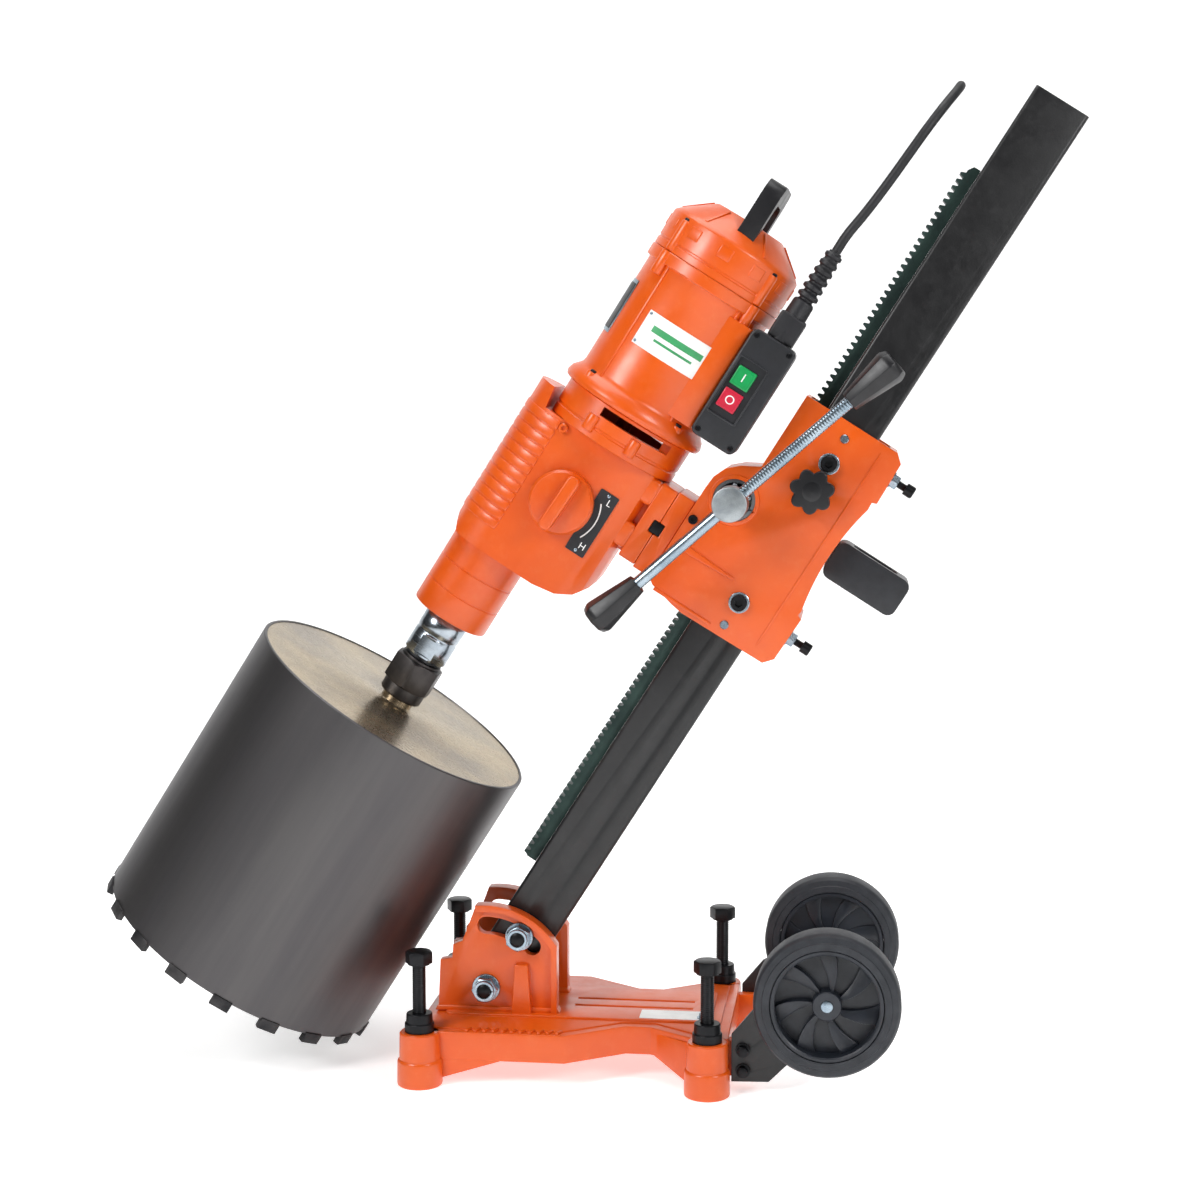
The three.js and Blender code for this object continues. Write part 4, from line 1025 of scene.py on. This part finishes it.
nameplate = {"radius": 72.3, "thick": 0.8, "from": 241.7, "to": 311.8 - 2, "low": 667, "high": 705}
plateOutline = (arc(0, 0, nameplate["radius"] + nameplate["thick"], nameplate["from"], nameplate["to"], 40)
                + arc(0, 0, nameplate["radius"] - 0.6, nameplate["to"], nameplate["from"], 40))
fit(push(plateOutline, nameplate["low"], nameplate["high"], "z"), "namePlate", motorFrame, "white", "carriage", bevel=0.2)
for i, angle in enumerate((nameplate["from"] + 2.4, nameplate["to"] - 2.4)):
    for j, height in enumerate((nameplate["low"] + 3, nameplate["high"] - 3)):
        x, y = onMotor(angle, nameplate["radius"] + nameplate["thick"])
        rivet = turn([(0, -0.4), (1.7, -0.4), (1.6, 0.3), (1, 0.7), (0, 0.8)], 24)
        aim = Matrix.Translation((x, y, height)) @ Matrix.Rotation(math.radians(angle), 4, "Z") @ Matrix.Rotation(math.radians(90), 4, "Y")
        fit(moved(rivet, aim), "plateRivet_%d%d" % (i, j), motorFrame, "zinc", "carriage")
bars = []
for height, fromAngle, toAngle, tall in ((690, 252, 300, 7), (680.5, 258, 294, 2.6)):
    radius = nameplate["radius"] + nameplate["thick"]
    outline = arc(0, 0, radius + 0.15, fromAngle, toAngle, 30) + arc(0, 0, radius - 0.2, toAngle, fromAngle, 30)
    bars.append(push(outline, height - tall / 2, height + tall / 2, "z"))
fit(joinAll(bars), "plateStripes", motorFrame, "ink", "carriage")
dataOutline = arc(0, 0, 73, 172, 209, 24) + arc(0, 0, 71.6, 209, 172, 24)
fit(push(dataOutline, 660, 722, "z"), "dataPlate", motorFrame, "zinc", "carriage", bevel=0.2)
dataFace = arc(0, 0, 73.4, 174, 207, 24) + arc(0, 0, 72.4, 207, 174, 24)
fit(push(dataFace, 664, 718, "z"), "dataPlateFace", motorFrame, "plastic", "carriage", bevel=0.2)
fit(soften(tidyCopy("carry_handle", columnFrame), 5, 4, 40), "carryHandle", columnFrame, "grip", "carriage", ["carry_handle"])
print("motor")


# ---------- switch box ----------
switch = {"left": -135.6, "right": -84, "low": 623, "high": 747, "front": -76, "back": -32, "u": -117, "half": 10.5}
buttonS = {"on_button": 696.5, "off_button": 670.5}


def switchBox():
    left, right, low, high, front, back = (switch[key] for key in ("left", "right", "low", "high", "front", "back"))
    shell = soften(push(roundRect(left, right, low, high, 7), front, back), 2.4, 4)
    carve(shell, block((left + 4.6, front + 8, low + 6), (right - 5, back - 4, high - 6)))
    carve(shell, push(roundRect(-132, -99, 652, 715, 2), front - 1, front + 2.5))
    for s in buttonS.values():
        reach = switch["half"] + 0.3
        carve(shell, block((switch["u"] - reach, front - 1, s - reach), (switch["u"] + reach, front + 14, s + reach)))
    frameBar = push(roundRect(-133, -98, 650, 717, 3), front - 0.8, front + 0.4)
    carve(frameBar, push(roundRect(-131, -100, 652, 715, 2), front - 2, front + 2))
    seam = block((right - 0.4, back - 22, low + 8), (right + 0.5, back - 20, high - 8))
    return joinAll([shell, soften(frameBar, 0.3), seam])


fit(switchBox(), "switchBox", columnFrame, "plastic", "carriage", ["switch_box"])
for name, finish, body in (("on_button", "green", "on_button"), ("off_button", "red", "off_button")):
    u, half, s, front = switch["u"], switch["half"], buttonS[name], switch["front"]
    face = soften(block((u - half, front - 1.5, s - half), (u + half, front + 7, s + half)), 1.1, 3)
    carve(face, push(roundRect(u - 8.5, u + 8.5, s - 8.5, s + 8.5, 1.5), front - 3, front - 1.1))
    button = joinAll([face, bar(4, (u, front + 6, s), (u, front + 16, s), 32)])
    fit(button, name.replace("_b", "B"), columnFrame, finish, body, [name])
lettering("I", 13, switch["u"], buttonS["on_button"], switch["front"] - 1.2, "onMark", "white", columnFrame, "on_button")
lettering("O", 13, switch["u"], buttonS["off_button"], switch["front"] - 1.2, "offMark", "white", columnFrame, "off_button")
for i, (x, z) in enumerate(((-129, 629.5), (-90, 629.5), (-129, 740.5), (-90, 740.5))):
    screw = moved(capScrew(3, 1.6, 2.4), Matrix.Translation((x, switch["front"], z)) @ Matrix.Rotation(math.radians(90), 4, "X"))
    fit(screw, "switchScrew_%d" % i, columnFrame, "blackSteel", "carriage")

boot = {"u": -107.5, "y": -53, "low": 747.3, "top": 853, "ribs": 6, "ribPitch": 9.4}
profile = [(0, boot["low"]), (14.4, boot["low"]), (15, boot["low"] + 0.8), (14.2, 770), (13.6, 772.6), (12, 776), (11.5, 792), (10.8, 794)]
for i in range(boot["ribs"]):
    height = 795 + i * boot["ribPitch"]
    wide = 11.5 - i * 0.4
    profile += [(7.6, height + 1), (7.6, height + 2.6), (wide - 0.8, height + 3.6), (wide, height + 4.4), (wide, height + 7.4),
                (wide - 0.8, height + 8.2)]
profile += [(7, boot["top"] - 2), (6.6, boot["top"]), (0, boot["top"])]
bootFrame = columnFrame @ Matrix.Translation((boot["u"], boot["y"], 0))
gland = soften(block((-14.5, -14.5, boot["low"]), (14.5, 14.5, 777)), 3, 3)
fit(joinAll([turn(profile, 56), gland]), "strainRelief", bootFrame, "rubber", "carriage", ["strain_relief"])
print("switch")


# ---------- spindle, chuck and core bit ----------
# The nose is turned; above the mouth of the housing the modelled spindle goes on inside.
spindleTube = [(0, 255.6), (20.6, 255.6), (22.4, 256.6), (22.4, 258.6), (24.5, 260), (24.5, 284), (23.6, 285), (23.6, 287),
               (24.5, 288), (24.5, 306), (20, 309), (20, 420), (12, 421), (12, 424), (0, 424)]
spindlePiece = turn(spindleTube, 96)
for side in (-1, 1):
    carve(spindlePiece, block((-30, side * 26 - 4, 262), (30, side * 26 + 4, 282)))
spindleInside = carve(tidyCopy("spindle", drillFrame), block((-60, -60, 200), (60, 60, 422)))
fit(joinAll([spindlePiece, spindleInside]), "spindleNose", drillFrame, "turnedSteel", "spindle", ["spindle"])
chuckParts = [
    hexHead(51, 220, 252, 30, True, True),
    turn([(0, 206), (21, 206), (22.6, 206.6), (24, 208.4), (24, 220), (23, 221), (0, 221)], 72),
    turn([(0, 251), (22.4, 251), (23, 251.6), (23, 254.4), (22.4, 255), (0, 255)], 72),
]
fit(joinAll(chuckParts), "chuckNut", drillFrame, "chuck", "spindle", ["chuck"], 0.4)

bit = {"radius": 162, "wall": 4, "top": 197, "bottom": -129, "plate": 8, "segments": 18}
inner = bit["radius"] - bit["wall"]
barrel = turn([(inner, bit["bottom"]), (bit["radius"], bit["bottom"]), (bit["radius"], bit["top"] - 1), (bit["radius"] - 1, bit["top"]),
               (bit["radius"] - 3.4, bit["top"]), (bit["radius"] - 3.6, bit["top"] - 1), (inner, bit["top"] - 1)], 180)
fit(barrel, "bitBarrel", drillFrame, "barrel", "spindle", ["core_bit"])
topPlate = turn([(0, bit["top"] - bit["plate"]), (inner - 0.2, bit["top"] - bit["plate"]), (inner, bit["top"] - 0.8), (22, bit["top"] - 0.5),
                 (19.4, bit["top"] + 0.4), (18, bit["top"] + 2), (18, 205.6), (0, 205.6)], 144)
fit(topPlate, "bitTopPlate", drillFrame, "bitTop", "spindle", ["core_bit"])
segments = []
for i in range(bit["segments"]):
    tooth = soften(block((bit["radius"] - 5.5, -11, -139), (bit["radius"] + 1.5, 11, -127)), 0.5)
    segments.append(moved(tooth, Matrix.Rotation(2 * math.pi * i / bit["segments"], 4, "Z")))
fit(joinAll(segments), "bitSegments", drillFrame, "segment", "spindle", ["core_bit"])
print("bit")


# ---------- lead, tie and plug ----------
def plugPieces():
    x, y, top = plug["x"], plug["y"], plug["top"]
    body = turn([(0, -58), (17, -58), (18.4, -57.4), (19, -56), (19, -31), (18, -28), (13, -18), (12, -17), (10.4, -16), (12, -14.6),
                 (11.4, -12.6), (9.4, -11.6), (10.8, -10), (10, -8), (8.4, -7), (9, -5.6), (8, 0), (0, 0)], 56)
    pins = [bar(2.4, (side * 9.5, 0, -77), (side * 9.5, 0, -56), 24) for side in (-1, 1)]
    place = Matrix.Translation((x, y, top))
    return moved(body, place), moved(joinAll([soften(pin, 1.2, 3) for pin in pins]), place)


plugBody, plugPins = plugPieces()
fit(plugBody, "mainsPlug", worldFrame, "rubber", "carriage", ["plug"])
fit(plugPins, "mainsPlugPins", worldFrame, "zinc", "carriage", ["plug"])
tieOutline = (roundRect(-12.6, 12.6, -21.6, 21.6, 6), roundRect(-11.2, 11.2, -20.4, 20.4, 5))
tie = push(tieOutline[0], -4, 4, "x")
carve(tie, push(tieOutline[1], -5, 5, "x"))
tie = moved(tie, Matrix.Translation((lead["coilX"], 103, lead["coilZ"] + 52.5)) @ Matrix.Rotation(math.pi / 2, 4, "X"))
fit(tie, "coilTie", worldFrame, "rubber", "carriage", bevel=0.3)

mainsLead.data.materials.append(finishes["rubber"])
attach(mainsLead, "carriage")
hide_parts("cord_lead", "cord_coil", "cord_tail")

# ---------- CAD nodes that show as they are ----------
finishOf = {
    "guide_strip_front": "slide", "guide_strip_back": "slide", "guide_pad_lower": "slide", "guide_pad_upper": "slide",
    "pinion_bearing_back": "gear", "pinion_shaft": "gear", "intermediate_gear": "gear", "stator": "gear",
    "armature": "copper", "wheel_axle": "zinc",
    "wheel_bracket_front": "column", "wheel_bracket_back": "column",
}
for name, finish in finishOf.items():
    piece = tidyCopy(name, columnFrame)
    fit(piece, "made_" + name, columnFrame, finish, bodyOf[name], [name], 0.25 if name != "armature" else 0)
print("other pieces", len(made))


# ---------- floor ----------
# One sheet: the floor runs back and curves up into a wall far behind the machine.
cove = {"front": -7, "bend": 4, "radius": 2.5, "height": 9, "half": 12}
coveLine = [(cove["front"], 0)] + arc(cove["bend"], cove["radius"], cove["radius"], -90, 0, 24)
coveLine.append((cove["bend"] + cove["radius"], cove["height"]))
points = [(side * cove["half"], y, z) for y, z in coveLine for side in (-1, 1)]
faces = [(2 * i, 2 * i + 1, 2 * i + 3, 2 * i + 2) for i in range(len(coveLine) - 1)]
floor = fromPoints("floor", points, [], faces)
bpy.ops.object.mode_set(mode="OBJECT")
bpy.ops.object.shade_smooth()
floorGraph = Graph("paleFloor")
floor.data.materials.append(floorGraph.finish({
    "Base Color": floorGraph.mix(floorGraph.noise(0.4, 3), rgb(250, 250, 250), rgb(247, 247, 247)),
    "Roughness": floorGraph.span(floorGraph.noise(0.2, 3), 0, 1, 0.85, 0.95),
    "Emission Color": (1, 1, 1, 1),
    "Emission Strength": 0.55,
}))
